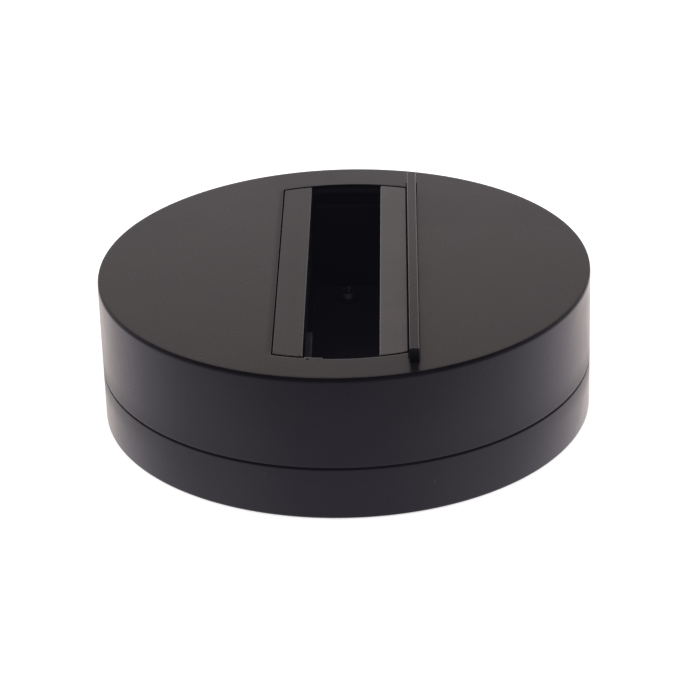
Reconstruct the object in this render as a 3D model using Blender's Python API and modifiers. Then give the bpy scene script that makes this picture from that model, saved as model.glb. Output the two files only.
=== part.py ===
"""Surface-mounted single-point outlet for a three-circuit track-light adapter.

The ceiling face rests on z = 0 and the adapter channel opens upwards (+Z) and
runs along Y. Front is -Y and left is -X. Origin: centre of the ceiling face.
Sizes are in millimetres and are scaled to metres by MM.
"""
import math

import bmesh
import bpy
from mathutils import Matrix, Vector

MM = 0.001

# ---------------------------------------------------------------- dimensions
ENDS = (("front", -1), ("rear", 1))     # sign of y
SIDES = (("left", -1), ("right", 1))    # sign of x
SHELL_FACETS = 72
GAP = 0.3                    # clearance between neighbouring parts
OVER = 1.0                   # how far a cutter runs past a face
SINK = 0.6                   # how far a cover boss runs into the cover's top

BODY_R = 60.0                # outer radius of both shells
BODY_H = 36.4                # ceiling face to the top of the cover
RIM = 0.5                    # softened outer edges
SMALL_RIM = 0.2              # softened edges where the shells meet

# ceiling base
BASE_H = 12.9                # height of the outer wall
BASE_FLOOR = 2.0
SPIGOT_R = 57.3              # ring that locates the cover
SPIGOT_INNER_R = 55.5
SPIGOT_TOP = 16.0
PILLAR_R = 5.0
PILLAR_TOP = 5.8
PILLAR_BORE_Z = 1.4
INSERT_R = 3.0
INSERT_BORE_R = 2.0
ENTRY = (-30.0, 34.0)        # cable entry
SPARE = (-ENTRY[0], -ENTRY[1])
ENTRY_R = 7.0
CABLE_R = 3.6
SLOT_X = 38.0                # two slots for the ceiling screws
SLOT_W = 4.6
SLOT_L = 14.0

# track section
TRACK_X0, TRACK_X1 = -15.8, 15.4
TRACK_Z0, TRACK_Z1 = 7.6, 36.3
TRACK_R = 49.3
TRACK_WALL = 1.6
TRACK_FLOOR = 1.8
LIP_X = 8.82                 # half the channel width
LIP_T = 1.6
CHEEK = 1.2                  # down-turned edge of each lip
CHEEK_Z = 32.6
INNER_X0, INNER_X1 = TRACK_X0 + TRACK_WALL, TRACK_X1 - TRACK_WALL
FLOOR_Z = TRACK_Z0 + TRACK_FLOOR
FLOOR_HOLE_R = 2.1

# cover
COVER_Z0 = BASE_H + 0.4
COVER_INNER_R = SPIGOT_R + GAP
COVER_UNDER = BODY_H - 2.4   # underside of the cover's top
OPEN_X0, OPEN_X1 = TRACK_X0 - GAP, TRACK_X1 + GAP
OPEN_R_FRONT, OPEN_R_REAR = 50.0, 49.6      # end arcs of the opening, about the axis
TAB_X0, TAB_X1, TAB_R = -8.4, -4.2, 49.45   # small step in the opening's front edge
PILOT_R = 1.6                # screw holes in the bosses and the parts they hold
BOSS_PILOT_TOP = 31.0
BLOCK_BOSS_R = 3.0
BLOCK_PILOT_TOP = 34.9

# polarity rib beside the channel
RIB_X0, RIB_X1 = OPEN_X1, 18.0
RIB_Y0, RIB_Y1 = -52.2, 49.5
RIB_TOP = 39.7
RIB_FOOT = 35.2
PEG_X, PEG_Y = (RIB_X0 + RIB_X1) / 2, 40.0
PEG_R, PEG_HOLE_R = 0.9, 1.2
PEG_Z0, PEG_Z1 = 33.4, 36.5
PEGS = [(PEG_X, sign * PEG_Y) for _, sign in ENDS]

# insulators and conductors
INSULATOR_X = 9.1            # inner face of each insulator
INSULATOR_Z0, INSULATOR_Z1 = 9.7, 32.3
INSULATOR_Y = 46.0
GROOVES = ((17.0, 20.0), (25.0, 28.0))      # (bottom z, top z)
GROOVE_DEPTH = {-1: 3.3, 1: 3.1}            # by the sign of x
BAR_HALF = 0.5               # half thickness of conductors and contact bars
CONDUCTOR_X = {side: side * (INSULATOR_X + depth - GAP - BAR_HALF)
               for side, depth in GROOVE_DEPTH.items()}
CONDUCTOR_Y0, CONDUCTOR_Y1 = -45.0, 43.5
FINE_BEVEL = 0.15

# end caps, as distances from the centre; the guide key is on the front one
CAP_X = 8.4
CAP_Y = (44.5, 46.6)
FLANGE_X = 12.8
FLANGE_Y = (46.4, 47.7)
FLANGE_INSET = 0.5
PASSAGE_Y = (44.0, 49.0)
LINK_INSET = 0.7             # link to conductor centre, towards the channel
KEY_LOW = (-CAP_X, -48.4, 28.5)
KEY_HIGH = (-6.75, -34.7, 35.7)

# captive fixing screws
FIX_Y = 38.0
FIXINGS = [(0, sign * FIX_Y) for _, sign in ENDS]
CROSS_ARM, CROSS_HALF_W = 1.7, 0.35
CROSS_Z0, CROSS_Z1 = 10.6, 13

# brackets that carry the track
STRAP_Y = 29.5
STRAP_W = 7.0
STRAP_T = 1.2
FOOT_Z = 24.0
FOOT_X = 26.0
BOSS_X = 21.5
BOSS_R = 3.2
BOSSES = [(sx * BOSS_X, sy * STRAP_Y) for _, sx in SIDES for _, sy in ENDS]

# terminal block
BLOCK_X0, BLOCK_X1 = -50.0, -26.0
BLOCK_Y = 21.0
BLOCK_Z0, BLOCK_Z1 = 14.5, 31.0
BLOCK_BEVEL = 0.4
POLE_X = -44.0
POLES = (-16.0, -8.0, 0.0, 8.0, 16.0)
EAR_X, EAR_Y = (BLOCK_X0 + BLOCK_X1) / 2, BLOCK_Y + 3.0
EARS = [(EAR_X, sign * EAR_Y) for _, sign in ENDS]
EAR_HALF_W = 4
EAR_SPAN = (BLOCK_Y - 1, BLOCK_Y + 6)
EAR_DEPTHS = (2.2, 0.1)      # underside and top of the ears, below the block's top
CHAMBER_X, CHAMBER_Y = 3.2, 2.9             # half sizes
CHAMBER_Z0, CHAMBER_Z1 = 18.3, 29.9
WELL_R, WELL_TOP = 2.3, 17.3
NECK_R, NECK_Z0, NECK_Z1 = 1.5, 17.0, 18.8
MOUTH_Y = 1.7                # half width of cable mouths and cage windows
MOUTH_Z0, MOUTH_Z1 = 25.2, 28.2
MOUTH_END = 3.0              # mouths and bar slots stop this far from the pole
BAR_Z = 25.1                 # contact bar centre
BAR_Y = 1.4                  # half width
BAR_START_X, BAR_TAIL_X = POLE_X - 2.8, -24.0
CAGE_X, CAGE_Y = 2.6, 2.5    # half sizes
CAGE_Z0, CAGE_Z1 = 21.0, 29.5
WINDOW_X, WINDOW_Z0 = 4, 22.6
THREAD_R, THREAD_Z0, THREAD_Z1 = 1.5, 20.0, 23.0

# screwdriver slots
DRIVER_HALF_W = 0.3
CLAMP_SLOT_X = 2.5
CLAMP_SLOT_Z0, CLAMP_SLOT_Z1 = 14.0, 15.9

# pan-head screws
BRACKET_SCREW_TIP = 30.4
BLOCK_SCREW_SEAT_DEPTH = 2.5 # below the block's top
BLOCK_SCREW_TIP = 34.3

# earth tag on the left of the track
EARTH_Y, EARTH_Z = -21.5, 25.0
TAG_LOW = (-16.9, -25.2, 21.5)
TAG_HIGH = (-16.1, -14.6, 28.2)
TONGUE_LOW = (-19.6, -17.4, 24.6)
TONGUE_HIGH = (-16.4, -14.9, 25.6)
EARTH_HOLE_R = 1.6
EARTH_SLOT_X0, EARTH_SLOT_X1 = -20.5, -18.1
SCREW_SLOT_HALF_L = 3        # also used for the pan-head screws

# Turned profiles, as (radius, z)
BASE_PROFILE = [
    (0, BASE_FLOOR), (SPIGOT_INNER_R, BASE_FLOOR), (SPIGOT_INNER_R, SPIGOT_TOP),
    (SPIGOT_R - 0.3, SPIGOT_TOP), (SPIGOT_R, SPIGOT_TOP - 0.3), (SPIGOT_R, BASE_H),
    (BODY_R - SMALL_RIM, BASE_H), (BODY_R, BASE_H - SMALL_RIM),
    (BODY_R, RIM), (BODY_R - RIM, 0), (0, 0)]
GROMMET_PROFILE = [
    (CABLE_R + 0.6, 3.9), (8.2, 3.9), (8.6, 3.5), (8.6, 2.3), (ENTRY_R - GAP, 2.3),
    (ENTRY_R - GAP, 0.3), (CABLE_R, 0.3), (CABLE_R, 3.3)]
PLUG_PROFILE = [
    (0, 3.6), (8.2, 3.6), (8.6, 3.2), (8.6, 2.3), (ENTRY_R - GAP, 2.3),
    (ENTRY_R - GAP, 0.3), (5.4, 0.3), (5.4, 1.9), (0, 1.9)]
INSERT_PROFILE = [
    (INSERT_BORE_R, 5.5), (INSERT_R, 5.5), (INSERT_R, 4.3), (INSERT_R - 0.3, 4.0),
    (INSERT_R - 0.3, 3.4), (INSERT_R, 3.1), (INSERT_R, 1.9), (INSERT_BORE_R, 1.9)]
COVER_PROFILE = [
    (0, BODY_H), (BODY_R - RIM, BODY_H), (BODY_R - 0.15, BODY_H - 0.15),
    (BODY_R, BODY_H - RIM), (BODY_R, COVER_Z0 + SMALL_RIM), (BODY_R - SMALL_RIM, COVER_Z0),
    (COVER_INNER_R, COVER_Z0), (COVER_INNER_R, COVER_UNDER), (0, COVER_UNDER)]
CLAMP_SCREW_PROFILE = [
    (0, 24.3), (0.8, 24.3), (1.2, 23.8), (1.2, 17.0), (1.9, 17.0), (1.9, 15.3),
    (1.6, 15.0), (0, 15.0)]
FIXING_SCREW_PROFILE = [
    (0, 11.9), (2.2, 11.9), (3.1, 11.4), (3.5, 10.5), (3.5, 9.7), (1.7, 9.7),
    (1.7, 3.2), (1.0, 2.5), (0, 2.5)]
WASHER_PROFILE = [(2.0, 7.2), (4.0, 7.2), (4.0, 6.4), (2.0, 6.4)]
# z is measured along the screw from the outer face of the earth tag
EARTH_SCREW_PROFILE = [
    (0, 2.9), (1.3, 2.9), (1.3, -0.3), (2.6, -0.3), (2.6, -1.4), (1.8, -2.2), (0, -2.2)]

# Each link leaves its conductor at the rear, runs beside the track and ends
# at the tail of its contact bar. The earth link starts at the earth tongue.
WIRE_R = 1.2
END_X = BAR_TAIL_X + GAP
# name, material, corner radius, path points (x, y, z)
LINKS = (
    ("link_l1", "wire_brown", 3.0, [
        (-10.9, 43.8, 18.5), (-10.9, 50.2, 18.5), (-18.9, 49.2, 18.0), (-18.9, 41.5, 15.6),
        (-18.9, -4.0, 15.6), (-18.9, -8.0, 18.5), (-18.9, -8.0, BAR_Z), (END_X, -8.0, BAR_Z)]),
    ("link_l2", "wire_black", 3.0, [
        (-10.9, 43.8, 26.5), (-10.9, 50.2, 26.5), (-18.9, 48.8, 25.5), (-18.9, 37.5, 18.3),
        (-18.9, 11.5, 18.3), (-18.9, 8.0, 20.5), (-18.9, 8.0, BAR_Z), (END_X, 8.0, BAR_Z)]),
    ("link_n", "wire_blue", 2.6, [
        (10.7, 43.8, 18.5), (10.7, 50.6, 18.5), (5.0, 54.2, 18.5), (-11.5, 54.4, 18.5),
        (-19.6, 51.9, 18.0), (-21.6, 45.0, 15.6), (-21.6, 3.5, 15.6), (-21.0, 0.0, 18.5),
        (-20.4, 0.0, BAR_Z), (END_X, 0.0, BAR_Z)]),
    ("link_l3", "wire_grey", 2.6, [
        (10.7, 43.8, 26.5), (10.7, 50.6, 26.5), (5.0, 54.2, 26.5), (-11.5, 54.4, 26.5),
        (-19.8, 51.6, 26.0), (-21.6, 46.0, 24.0), (-21.6, 37.0, 18.3), (-21.6, 19.5, 18.3),
        (-21.0, 16.0, 20.8), (-20.4, 16.0, BAR_Z), (END_X, 16.0, BAR_Z)]),
    ("link_earth", "wire_green", 0.6, [
        (-19.9, -16.1, BAR_Z), (-21.6, -16.1, BAR_Z), (END_X, -16.0, BAR_Z)]),
)

# name: (base colour, roughness, metallic)
MATERIALS = {
    "shell_black": ((0.022, 0.021, 0.023), 0.42, 0.0),
    "rib_black": ((0.020, 0.020, 0.022), 0.38, 0.0),
    "track_black": ((0.026, 0.025, 0.026), 0.45, 0.3),
    "insulator_black": ((0.012, 0.012, 0.013), 0.5, 0.0),
    "copper": ((0.72, 0.32, 0.16), 0.3, 1.0),
    "brass": ((0.72, 0.53, 0.22), 0.32, 1.0),
    "zinc_steel": ((0.55, 0.56, 0.58), 0.35, 1.0),
    "rubber_black": ((0.018, 0.018, 0.018), 0.75, 0.0),
    "terminal_ivory": ((0.62, 0.60, 0.54), 0.45, 0.0),
    "wire_brown": ((0.16, 0.06, 0.03), 0.4, 0.0),
    "wire_black": ((0.02, 0.02, 0.02), 0.4, 0.0),
    "wire_grey": ((0.28, 0.28, 0.29), 0.4, 0.0),
    "wire_blue": ((0.03, 0.12, 0.45), 0.4, 0.0),
    "wire_green": ((0.12, 0.38, 0.08), 0.4, 0.0),
}


# ------------------------------------------------------------------- scene
for old in list(bpy.data.objects):
    bpy.data.objects.remove(old, do_unlink=True)
for old in list(bpy.data.collections):
    bpy.data.collections.remove(old)


def collection(name):
    col = bpy.data.collections.new(name)
    bpy.context.scene.collection.children.link(col)
    return col


def material(name, colour, roughness, metallic):
    mat = bpy.data.materials.new(name)
    mat.use_nodes = True
    shader = mat.node_tree.nodes["Principled BSDF"]
    shader.inputs["Base Color"].default_value = (*colour, 1.0)
    shader.inputs["Roughness"].default_value = roughness
    shader.inputs["Metallic"].default_value = metallic
    mat.diffuse_color = (*colour, 1.0)
    return mat


def new_object(name, data, col):
    ob = bpy.data.objects.new(name, data)
    col.objects.link(ob)
    return ob


def frame(name):
    """Empty at the origin that carries an assembly."""
    ob = new_object(name, None, PARTS)
    ob.empty_display_size = 0.01
    return ob


PARTS = collection("track_point_outlet")
CUTTERS = collection("cutters")
MAT = {name: material(name, *look) for name, look in MATERIALS.items()}
BASE = frame("base_frame")
HOUSING = frame("housing_frame")


# ----------------------------------------------------------------- helpers
def lathe(name, profile, at=(0.0, 0.0), facets=SHELL_FACETS, closed=False, col=PARTS, z=0.0):
    """Turn a profile of (radius, z) points about Z.

    The profile runs from the top down the outer side. A closed profile makes
    a ring, and an open one starts and ends on the axis."""
    mesh = bpy.data.meshes.new(name)
    count = len(profile)
    edges = [(i, i + 1) for i in range(count - 1)]
    if closed:
        edges.append((count - 1, 0))
    mesh.from_pydata([(r * MM, 0.0, h * MM) for r, h in profile], edges, [])
    ob = new_object(name, mesh, col)
    ob.location = (at[0] * MM, at[1] * MM, z * MM)
    turn = ob.modifiers.new("turn", "SCREW")
    turn.axis = "Z"
    turn.angle = 2 * math.pi
    turn.steps = turn.render_steps = facets
    turn.use_merge_vertices = True
    turn.merge_threshold = 0.00001
    turn.use_smooth_shade = False
    return ob


def drum(name, radius, z0, z1, at=(0.0, 0.0), facets=24):
    """Upright cylinder cutter, turned about its own origin."""
    profile = [(0, z1), (radius, z1), (radius, z0), (0, z0)]
    return lathe(name, profile, at, facets, col=CUTTERS)


def bmesh_object(name, bm, col):
    mesh = bpy.data.meshes.new(name)
    bm.to_mesh(mesh)
    bm.free()
    return new_object(name, mesh, col)


def cylinders(name, radius, spans, facets=12):
    """One cutter of separate cylinders, each between two points."""
    bm = bmesh.new()
    for start, end in spans:
        start, end = Vector(start) * MM, Vector(end) * MM
        turn = (end - start).to_track_quat("Z", "Y").to_matrix().to_4x4()
        bmesh.ops.create_cone(bm, cap_ends=True, segments=facets, radius1=radius * MM,
                              radius2=radius * MM, depth=(end - start).length,
                              matrix=Matrix.Translation((start + end) / 2) @ turn)
    return bmesh_object(name, bm, CUTTERS)


def pins(name, radius, places, z0, z1, facets=12):
    """One cutter of upright cylinders at (x, y) places."""
    return cylinders(name, radius, [((x, y, z0), (x, y, z1)) for x, y in places], facets)


def boxes(name, spans, col=CUTTERS, origin=(0.0, 0.0, 0.0)):
    """One object of boxes, each given by its low and high corner."""
    bm = bmesh.new()
    origin = Vector(origin)
    for low, high in spans:
        low, high = Vector(low) - origin, Vector(high) - origin
        scale = Matrix.Diagonal((*((high - low) * MM), 1.0))
        place = Matrix.Translation((low + high) / 2 * MM)
        bmesh.ops.create_cube(bm, size=1.0, matrix=place @ scale)
    ob = bmesh_object(name, bm, col)
    ob.location = origin * MM
    return ob


def outline_solid(name, points, depth, col, location, rotation=(0, 0, 0)):
    """A flat outline with thickness, centred on its own plane."""
    curve = bpy.data.curves.new(name + "_outline", "CURVE")
    curve.dimensions = "2D"
    curve.fill_mode = "BOTH"
    curve.extrude = depth * MM / 2
    spline = curve.splines.new("POLY")
    spline.points.add(len(points) - 1)
    for point, (x, y) in zip(spline.points, points):
        point.co = (x * MM, y * MM, 0.0, 1.0)
    spline.use_cyclic_u = True
    guide = new_object(name + "_outline", curve, CUTTERS)
    guide.location = Vector(location) * MM
    guide.rotation_euler = rotation
    bpy.context.view_layer.update()
    depsgraph = bpy.context.evaluated_depsgraph_get()
    mesh = bpy.data.meshes.new_from_object(guide.evaluated_get(depsgraph))
    mesh.name = name
    bm = bmesh.new()
    bm.from_mesh(mesh)
    bmesh.ops.remove_doubles(bm, verts=bm.verts, dist=0.000005)
    bmesh.ops.dissolve_limit(bm, angle_limit=math.radians(0.5), verts=bm.verts, edges=bm.edges)
    bmesh.ops.recalc_face_normals(bm, faces=bm.faces)
    bm.to_mesh(mesh)
    bm.free()
    ob = new_object(name, mesh, col)
    ob.matrix_world = guide.matrix_world.copy()
    bpy.data.objects.remove(guide, do_unlink=True)
    return ob


def extrude_y(name, points, y0, y1):
    """Part extruded along Y from an outline given in (x, z)."""
    return outline_solid(name, points, y1 - y0, PARTS, (0, (y0 + y1) / 2, 0),
                         (math.pi / 2, 0, 0))


def extrude_z(name, points, z0, z1):
    """Cutter extruded along Z from an outline given in (x, y)."""
    return outline_solid(name, points, z1 - z0, CUTTERS, (0, 0, (z0 + z1) / 2))


def boolean(ob, tool, operation="DIFFERENCE"):
    tool.hide_render = True
    tool.display_type = "WIRE"
    mod = ob.modifiers.new(tool.name, "BOOLEAN")
    mod.operation = operation
    mod.solver = "EXACT"
    mod.object = tool


def bevel(ob, width):
    mod = ob.modifiers.new("edge", "BEVEL")
    mod.width = width * MM
    mod.segments = 1
    mod.limit_method = "ANGLE"
    mod.angle_limit = math.radians(50)
    mod.miter_outer = "MITER_SHARP"


def arc(radius, x0, x1, side, steps):
    """Points on a circle about the axis, from x0 to x1, on the +Y or -Y side."""
    xs = [x0 + (x1 - x0) * i / steps for i in range(steps + 1)]
    return [(x, side * math.sqrt(radius * radius - x * x)) for x in xs]


def rounded(points, radius, steps=3):
    """Round each inner corner of a polyline with a short quadratic arc."""
    points = [Vector(p) for p in points]
    path = [points[0]]
    for before, corner, after in zip(points, points[1:], points[2:]):
        reach = min(radius, (before - corner).length * 0.45, (after - corner).length * 0.45)
        start = corner + (before - corner).normalized() * reach
        end = corner + (after - corner).normalized() * reach
        for i in range(steps + 1):
            t = i / steps
            path.append(start * (1 - t) ** 2 + corner * 2 * t * (1 - t) + end * t * t)
    path.append(points[-1])
    return path


def span(sign, near, far):
    """Low and high coordinate of a stretch on one side of the centre."""
    return sorted((sign * near, sign * far))


def finish(ob, mat, smooth=True, parent=HOUSING):
    """Set parent and material; a smooth part also gets its modifiers applied."""
    ob.parent = parent
    ob.data.materials.clear()
    ob.data.materials.append(MAT[mat])
    if not smooth:
        return
    bpy.context.view_layer.update()
    depsgraph = bpy.context.evaluated_depsgraph_get()
    solid = bpy.data.meshes.new_from_object(ob.evaluated_get(depsgraph))
    solid.name = ob.name
    ob.modifiers.clear()
    ob.data = solid
    solid.materials.clear()
    solid.materials.append(MAT[mat])
    solid.shade_smooth()
    solid.set_sharp_from_angle(angle=math.radians(28))


# -------------------------------------------------------------------- base
def slot_outline(x):
    """Round-ended slot along Y, centred at x."""
    half_w = SLOT_W / 2
    half_l = SLOT_L / 2 - half_w
    angles = [math.pi * i / 6 for i in range(7)]
    return [(x + end * half_w * math.cos(a), end * (half_l + half_w * math.sin(a)))
            for end in (1, -1) for a in angles]


def build_base_cup():
    cup = lathe("base_cup", BASE_PROFILE)
    for tag, sign in ENDS:
        boolean(cup, drum("pillar_" + tag, PILLAR_R, BASE_FLOOR - 0.5, PILLAR_TOP,
                          (0, sign * FIX_Y)), "UNION")
    for tag, sign in ENDS:
        boolean(cup, drum("pillar_bore_" + tag, INSERT_R + GAP, PILLAR_BORE_Z,
                          PILLAR_TOP + OVER, (0, sign * FIX_Y), 16))
    for name, at in (("cable_hole", ENTRY), ("spare_hole", SPARE)):
        boolean(cup, drum(name, ENTRY_R, -OVER, BASE_FLOOR + OVER, at))
    for tag, sign in SIDES:
        boolean(cup, extrude_z("screw_slot_" + tag, slot_outline(sign * SLOT_X),
                               -OVER, BASE_FLOOR + OVER))
    finish(cup, "shell_black", parent=BASE)


def build_base_fittings():
    """Cable grommet, blanking plug and the threaded inserts in the pillars."""
    grommet = lathe("cable_grommet", GROMMET_PROFILE, ENTRY, 24, closed=True)
    finish(grommet, "rubber_black", parent=BASE)
    plug = lathe("blanking_plug", PLUG_PROFILE, SPARE, 24)
    finish(plug, "rubber_black", parent=BASE)
    for (tag, _), at in zip(ENDS, FIXINGS):
        insert = lathe("brass_insert_" + tag, INSERT_PROFILE, at, 16, closed=True)
        finish(insert, "brass", parent=BASE)


# ------------------------------------------------------------------- cover
def opening_outline():
    """Channel opening in (x, y), with the small step in its front edge."""
    return (arc(OPEN_R_FRONT, OPEN_X0, TAB_X0, -1, 3) + arc(TAB_R, TAB_X0, TAB_X1, -1, 2)
            + arc(OPEN_R_FRONT, TAB_X1, OPEN_X1, -1, 6)
            + arc(OPEN_R_REAR, OPEN_X1, OPEN_X0, 1, 10))


def build_cover():
    cover = lathe("cover", COVER_PROFILE)
    for x_tag, sx in SIDES:
        for y_tag, sy in ENDS:
            boolean(cover, drum("boss_%s_%s" % (x_tag, y_tag), BOSS_R, FOOT_Z + STRAP_T + GAP,
                                COVER_UNDER + SINK, (sx * BOSS_X, sy * STRAP_Y), 16), "UNION")
    for (tag, _), at in zip(ENDS, EARS):
        boolean(cover, drum("terminal_boss_" + tag, BLOCK_BOSS_R, BLOCK_Z1 + GAP,
                            COVER_UNDER + SINK, at, 16), "UNION")
    boolean(cover, pins("boss_pilots", PILOT_R, BOSSES, FOOT_Z, BOSS_PILOT_TOP))
    boolean(cover, pins("terminal_pilots", PILOT_R, EARS, BLOCK_Z1 - OVER, BLOCK_PILOT_TOP))
    boolean(cover, extrude_z("opening", opening_outline(), COVER_UNDER - OVER, BODY_H + OVER))
    boolean(cover, boxes("rib_groove", [((RIB_X0 - GAP, RIB_Y0 - GAP, RIB_FOOT - GAP),
                                         (RIB_X1 + GAP, RIB_Y1 + GAP, BODY_H + OVER))]))
    boolean(cover, pins("peg_holes", PEG_HOLE_R, PEGS, COVER_UNDER - OVER, BODY_H))
    finish(cover, "shell_black")


def build_rib():
    rib = boxes("polarity_rib", [((RIB_X0, RIB_Y0, RIB_FOOT), (RIB_X1, RIB_Y1, RIB_TOP))], PARTS)
    bevel(rib, FINE_BEVEL)
    boolean(rib, pins("rib_pegs", PEG_R, PEGS, PEG_Z0, PEG_Z1), "UNION")
    finish(rib, "rib_black")


# ------------------------------------------------------------------- track
def build_track():
    """Channel section with lips, its ends trimmed to a circle about the axis."""
    lip_z = TRACK_Z1 - LIP_T
    cheek_x = LIP_X + CHEEK
    track = extrude_y("track_section", [
        (TRACK_X0, TRACK_Z0), (TRACK_X1, TRACK_Z0), (TRACK_X1, TRACK_Z1), (LIP_X, TRACK_Z1),
        (LIP_X, CHEEK_Z), (cheek_x, CHEEK_Z), (cheek_x, lip_z), (INNER_X1, lip_z),
        (INNER_X1, FLOOR_Z), (INNER_X0, FLOOR_Z), (INNER_X0, lip_z), (-cheek_x, lip_z),
        (-cheek_x, CHEEK_Z), (-LIP_X, CHEEK_Z), (-LIP_X, TRACK_Z1), (TRACK_X0, TRACK_Z1),
    ], -TRACK_R - OVER, TRACK_R + OVER)
    boolean(track, drum("track_ends", TRACK_R, TRACK_Z0 - 2 * OVER, TRACK_Z1 + 2 * OVER,
                        facets=96), "INTERSECT")
    boolean(track, pins("floor_holes", FLOOR_HOLE_R, FIXINGS, TRACK_Z0 - OVER,
                        FLOOR_Z + OVER, 16))
    boolean(track, cylinders("earth_hole", EARTH_HOLE_R, [
        ((-17.5, EARTH_Y, EARTH_Z), (-13.2, EARTH_Y, EARTH_Z))]))
    finish(track, "track_black")


def build_insulator(name, side, outer):
    """Grooved strip; outer is the distance of its outer face from the centre."""
    inner, bottom = side * INSULATOR_X, side * (INSULATOR_X + GROOVE_DEPTH[side])
    points = [(side * outer, INSULATOR_Z0), (inner, INSULATOR_Z0)]
    for z0, z1 in GROOVES:
        points += [(inner, z0), (bottom, z0), (bottom, z1), (inner, z1)]
    points += [(inner, INSULATOR_Z1), (side * outer, INSULATOR_Z1)]
    finish(extrude_y(name, points, -INSULATOR_Y, INSULATOR_Y), "insulator_black", smooth=False)


def build_conductor(name, side, groove):
    x = CONDUCTOR_X[side]
    z0, z1 = GROOVES[groove]
    bar = boxes(name, [((x - BAR_HALF, CONDUCTOR_Y0, z0 + GAP),
                        (x + BAR_HALF, CONDUCTOR_Y1, z1 - GAP))], PARTS)
    bevel(bar, FINE_BEVEL)
    finish(bar, "copper", smooth=False)


def build_end_cap(tag, sign):
    """Flanged block; the front one has the guide key, the rear one link holes."""
    y0, y1 = span(sign, *CAP_Y)
    cap = boxes("end_cap_" + tag, [((-CAP_X, y0, INSULATOR_Z0), (CAP_X, y1, INSULATOR_Z1))],
                PARTS)
    y0, y1 = span(sign, *FLANGE_Y)
    boolean(cap, boxes("end_flange_" + tag, [((-FLANGE_X, y0, INSULATOR_Z0 + FLANGE_INSET),
                                              (FLANGE_X, y1, INSULATOR_Z1 - FLANGE_INSET))]),
            "UNION")
    if sign < 0:
        boolean(cap, boxes("guide_key", [(KEY_LOW, KEY_HIGH)]), "UNION")
    else:
        places = [(x - side * LINK_INSET, (z0 + z1) / 2)
                  for side, x in CONDUCTOR_X.items() for z0, z1 in GROOVES]
        boolean(cap, cylinders("link_passages", WIRE_R + 0.4, [
            ((x, PASSAGE_Y[0], z), (x, PASSAGE_Y[1], z)) for x, z in places]))
    finish(cap, "insulator_black")


def build_bracket(tag, sign):
    """Strap that passes under the track floor, with a foot on each side."""
    left, right, seat = TRACK_X0 - GAP, TRACK_X1 + GAP, TRACK_Z0 - GAP
    foot_top = FOOT_Z + STRAP_T
    y = sign * STRAP_Y
    bracket = extrude_y("track_bracket_" + tag, [
        (-FOOT_X, FOOT_Z), (left - STRAP_T, FOOT_Z), (left - STRAP_T, seat - STRAP_T),
        (right + STRAP_T, seat - STRAP_T), (right + STRAP_T, FOOT_Z), (FOOT_X, FOOT_Z),
        (FOOT_X, foot_top), (right, foot_top), (right, seat), (left, seat),
        (left, foot_top), (-FOOT_X, foot_top)], y - STRAP_W / 2, y + STRAP_W / 2)
    boolean(bracket, pins("bracket_holes_" + tag, PILOT_R,
                          [(sx * BOSS_X, y) for _, sx in SIDES],
                          FOOT_Z - OVER, foot_top + OVER))
    finish(bracket, "zinc_steel")


def build_pan_screw(name, x, y, seat, tip):
    """Pan-head screw with its head below the seat and its tip pointing up."""
    screw = lathe(name, [
        (0, tip), (0.7, tip), (1.3, tip - 0.8), (1.3, seat), (2.6, seat),
        (2.6, seat - 1.2), (1.8, seat - 2.1), (0, seat - 2.1)], (x, y), 12)
    boolean(screw, boxes(name + "_slot", [
        ((x - SCREW_SLOT_HALF_L, y - DRIVER_HALF_W, seat - 3),
         (x + SCREW_SLOT_HALF_L, y + DRIVER_HALF_W, seat - 1.1))]))
    finish(screw, "zinc_steel")


# ---------------------------------------------------------- terminal block
def build_terminal_block():
    block = boxes("terminal_block", [((BLOCK_X0, -BLOCK_Y, BLOCK_Z0),
                                      (BLOCK_X1, BLOCK_Y, BLOCK_Z1))], PARTS)
    bevel(block, BLOCK_BEVEL)
    ears = []
    for _, sign in ENDS:
        y0, y1 = span(sign, *EAR_SPAN)
        ears.append(((EAR_X - EAR_HALF_W, y0, BLOCK_Z1 - EAR_DEPTHS[0]),
                     (EAR_X + EAR_HALF_W, y1, BLOCK_Z1 - EAR_DEPTHS[1])))
    boolean(block, boxes("terminal_ears", ears), "UNION")
    boolean(block, pins("ear_holes", PILOT_R, EARS, BLOCK_Z1 - 4, BLOCK_Z1 + OVER))

    poles = [(POLE_X, y) for y in POLES]
    boolean(block, boxes("cage_chambers", [
        ((POLE_X - CHAMBER_X, y - CHAMBER_Y, CHAMBER_Z0),
         (POLE_X + CHAMBER_X, y + CHAMBER_Y, CHAMBER_Z1)) for y in POLES]))
    boolean(block, pins("screw_wells", WELL_R, poles, BLOCK_Z0 - OVER, WELL_TOP))
    boolean(block, pins("screw_necks", NECK_R, poles, NECK_Z0, NECK_Z1))
    boolean(block, boxes("cable_mouths", [
        ((BLOCK_X0 - OVER, y - MOUTH_Y, MOUTH_Z0),
         (POLE_X - MOUTH_END, y + MOUTH_Y, MOUTH_Z1)) for y in POLES]))
    slot_y, slot_z = BAR_Y + GAP, BAR_HALF + GAP
    boolean(block, boxes("bar_slots", [
        ((POLE_X + MOUTH_END, y - slot_y, BAR_Z - slot_z),
         (BLOCK_X1 + OVER, y + slot_y, BAR_Z + slot_z)) for y in POLES]))
    finish(block, "terminal_ivory")


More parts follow.
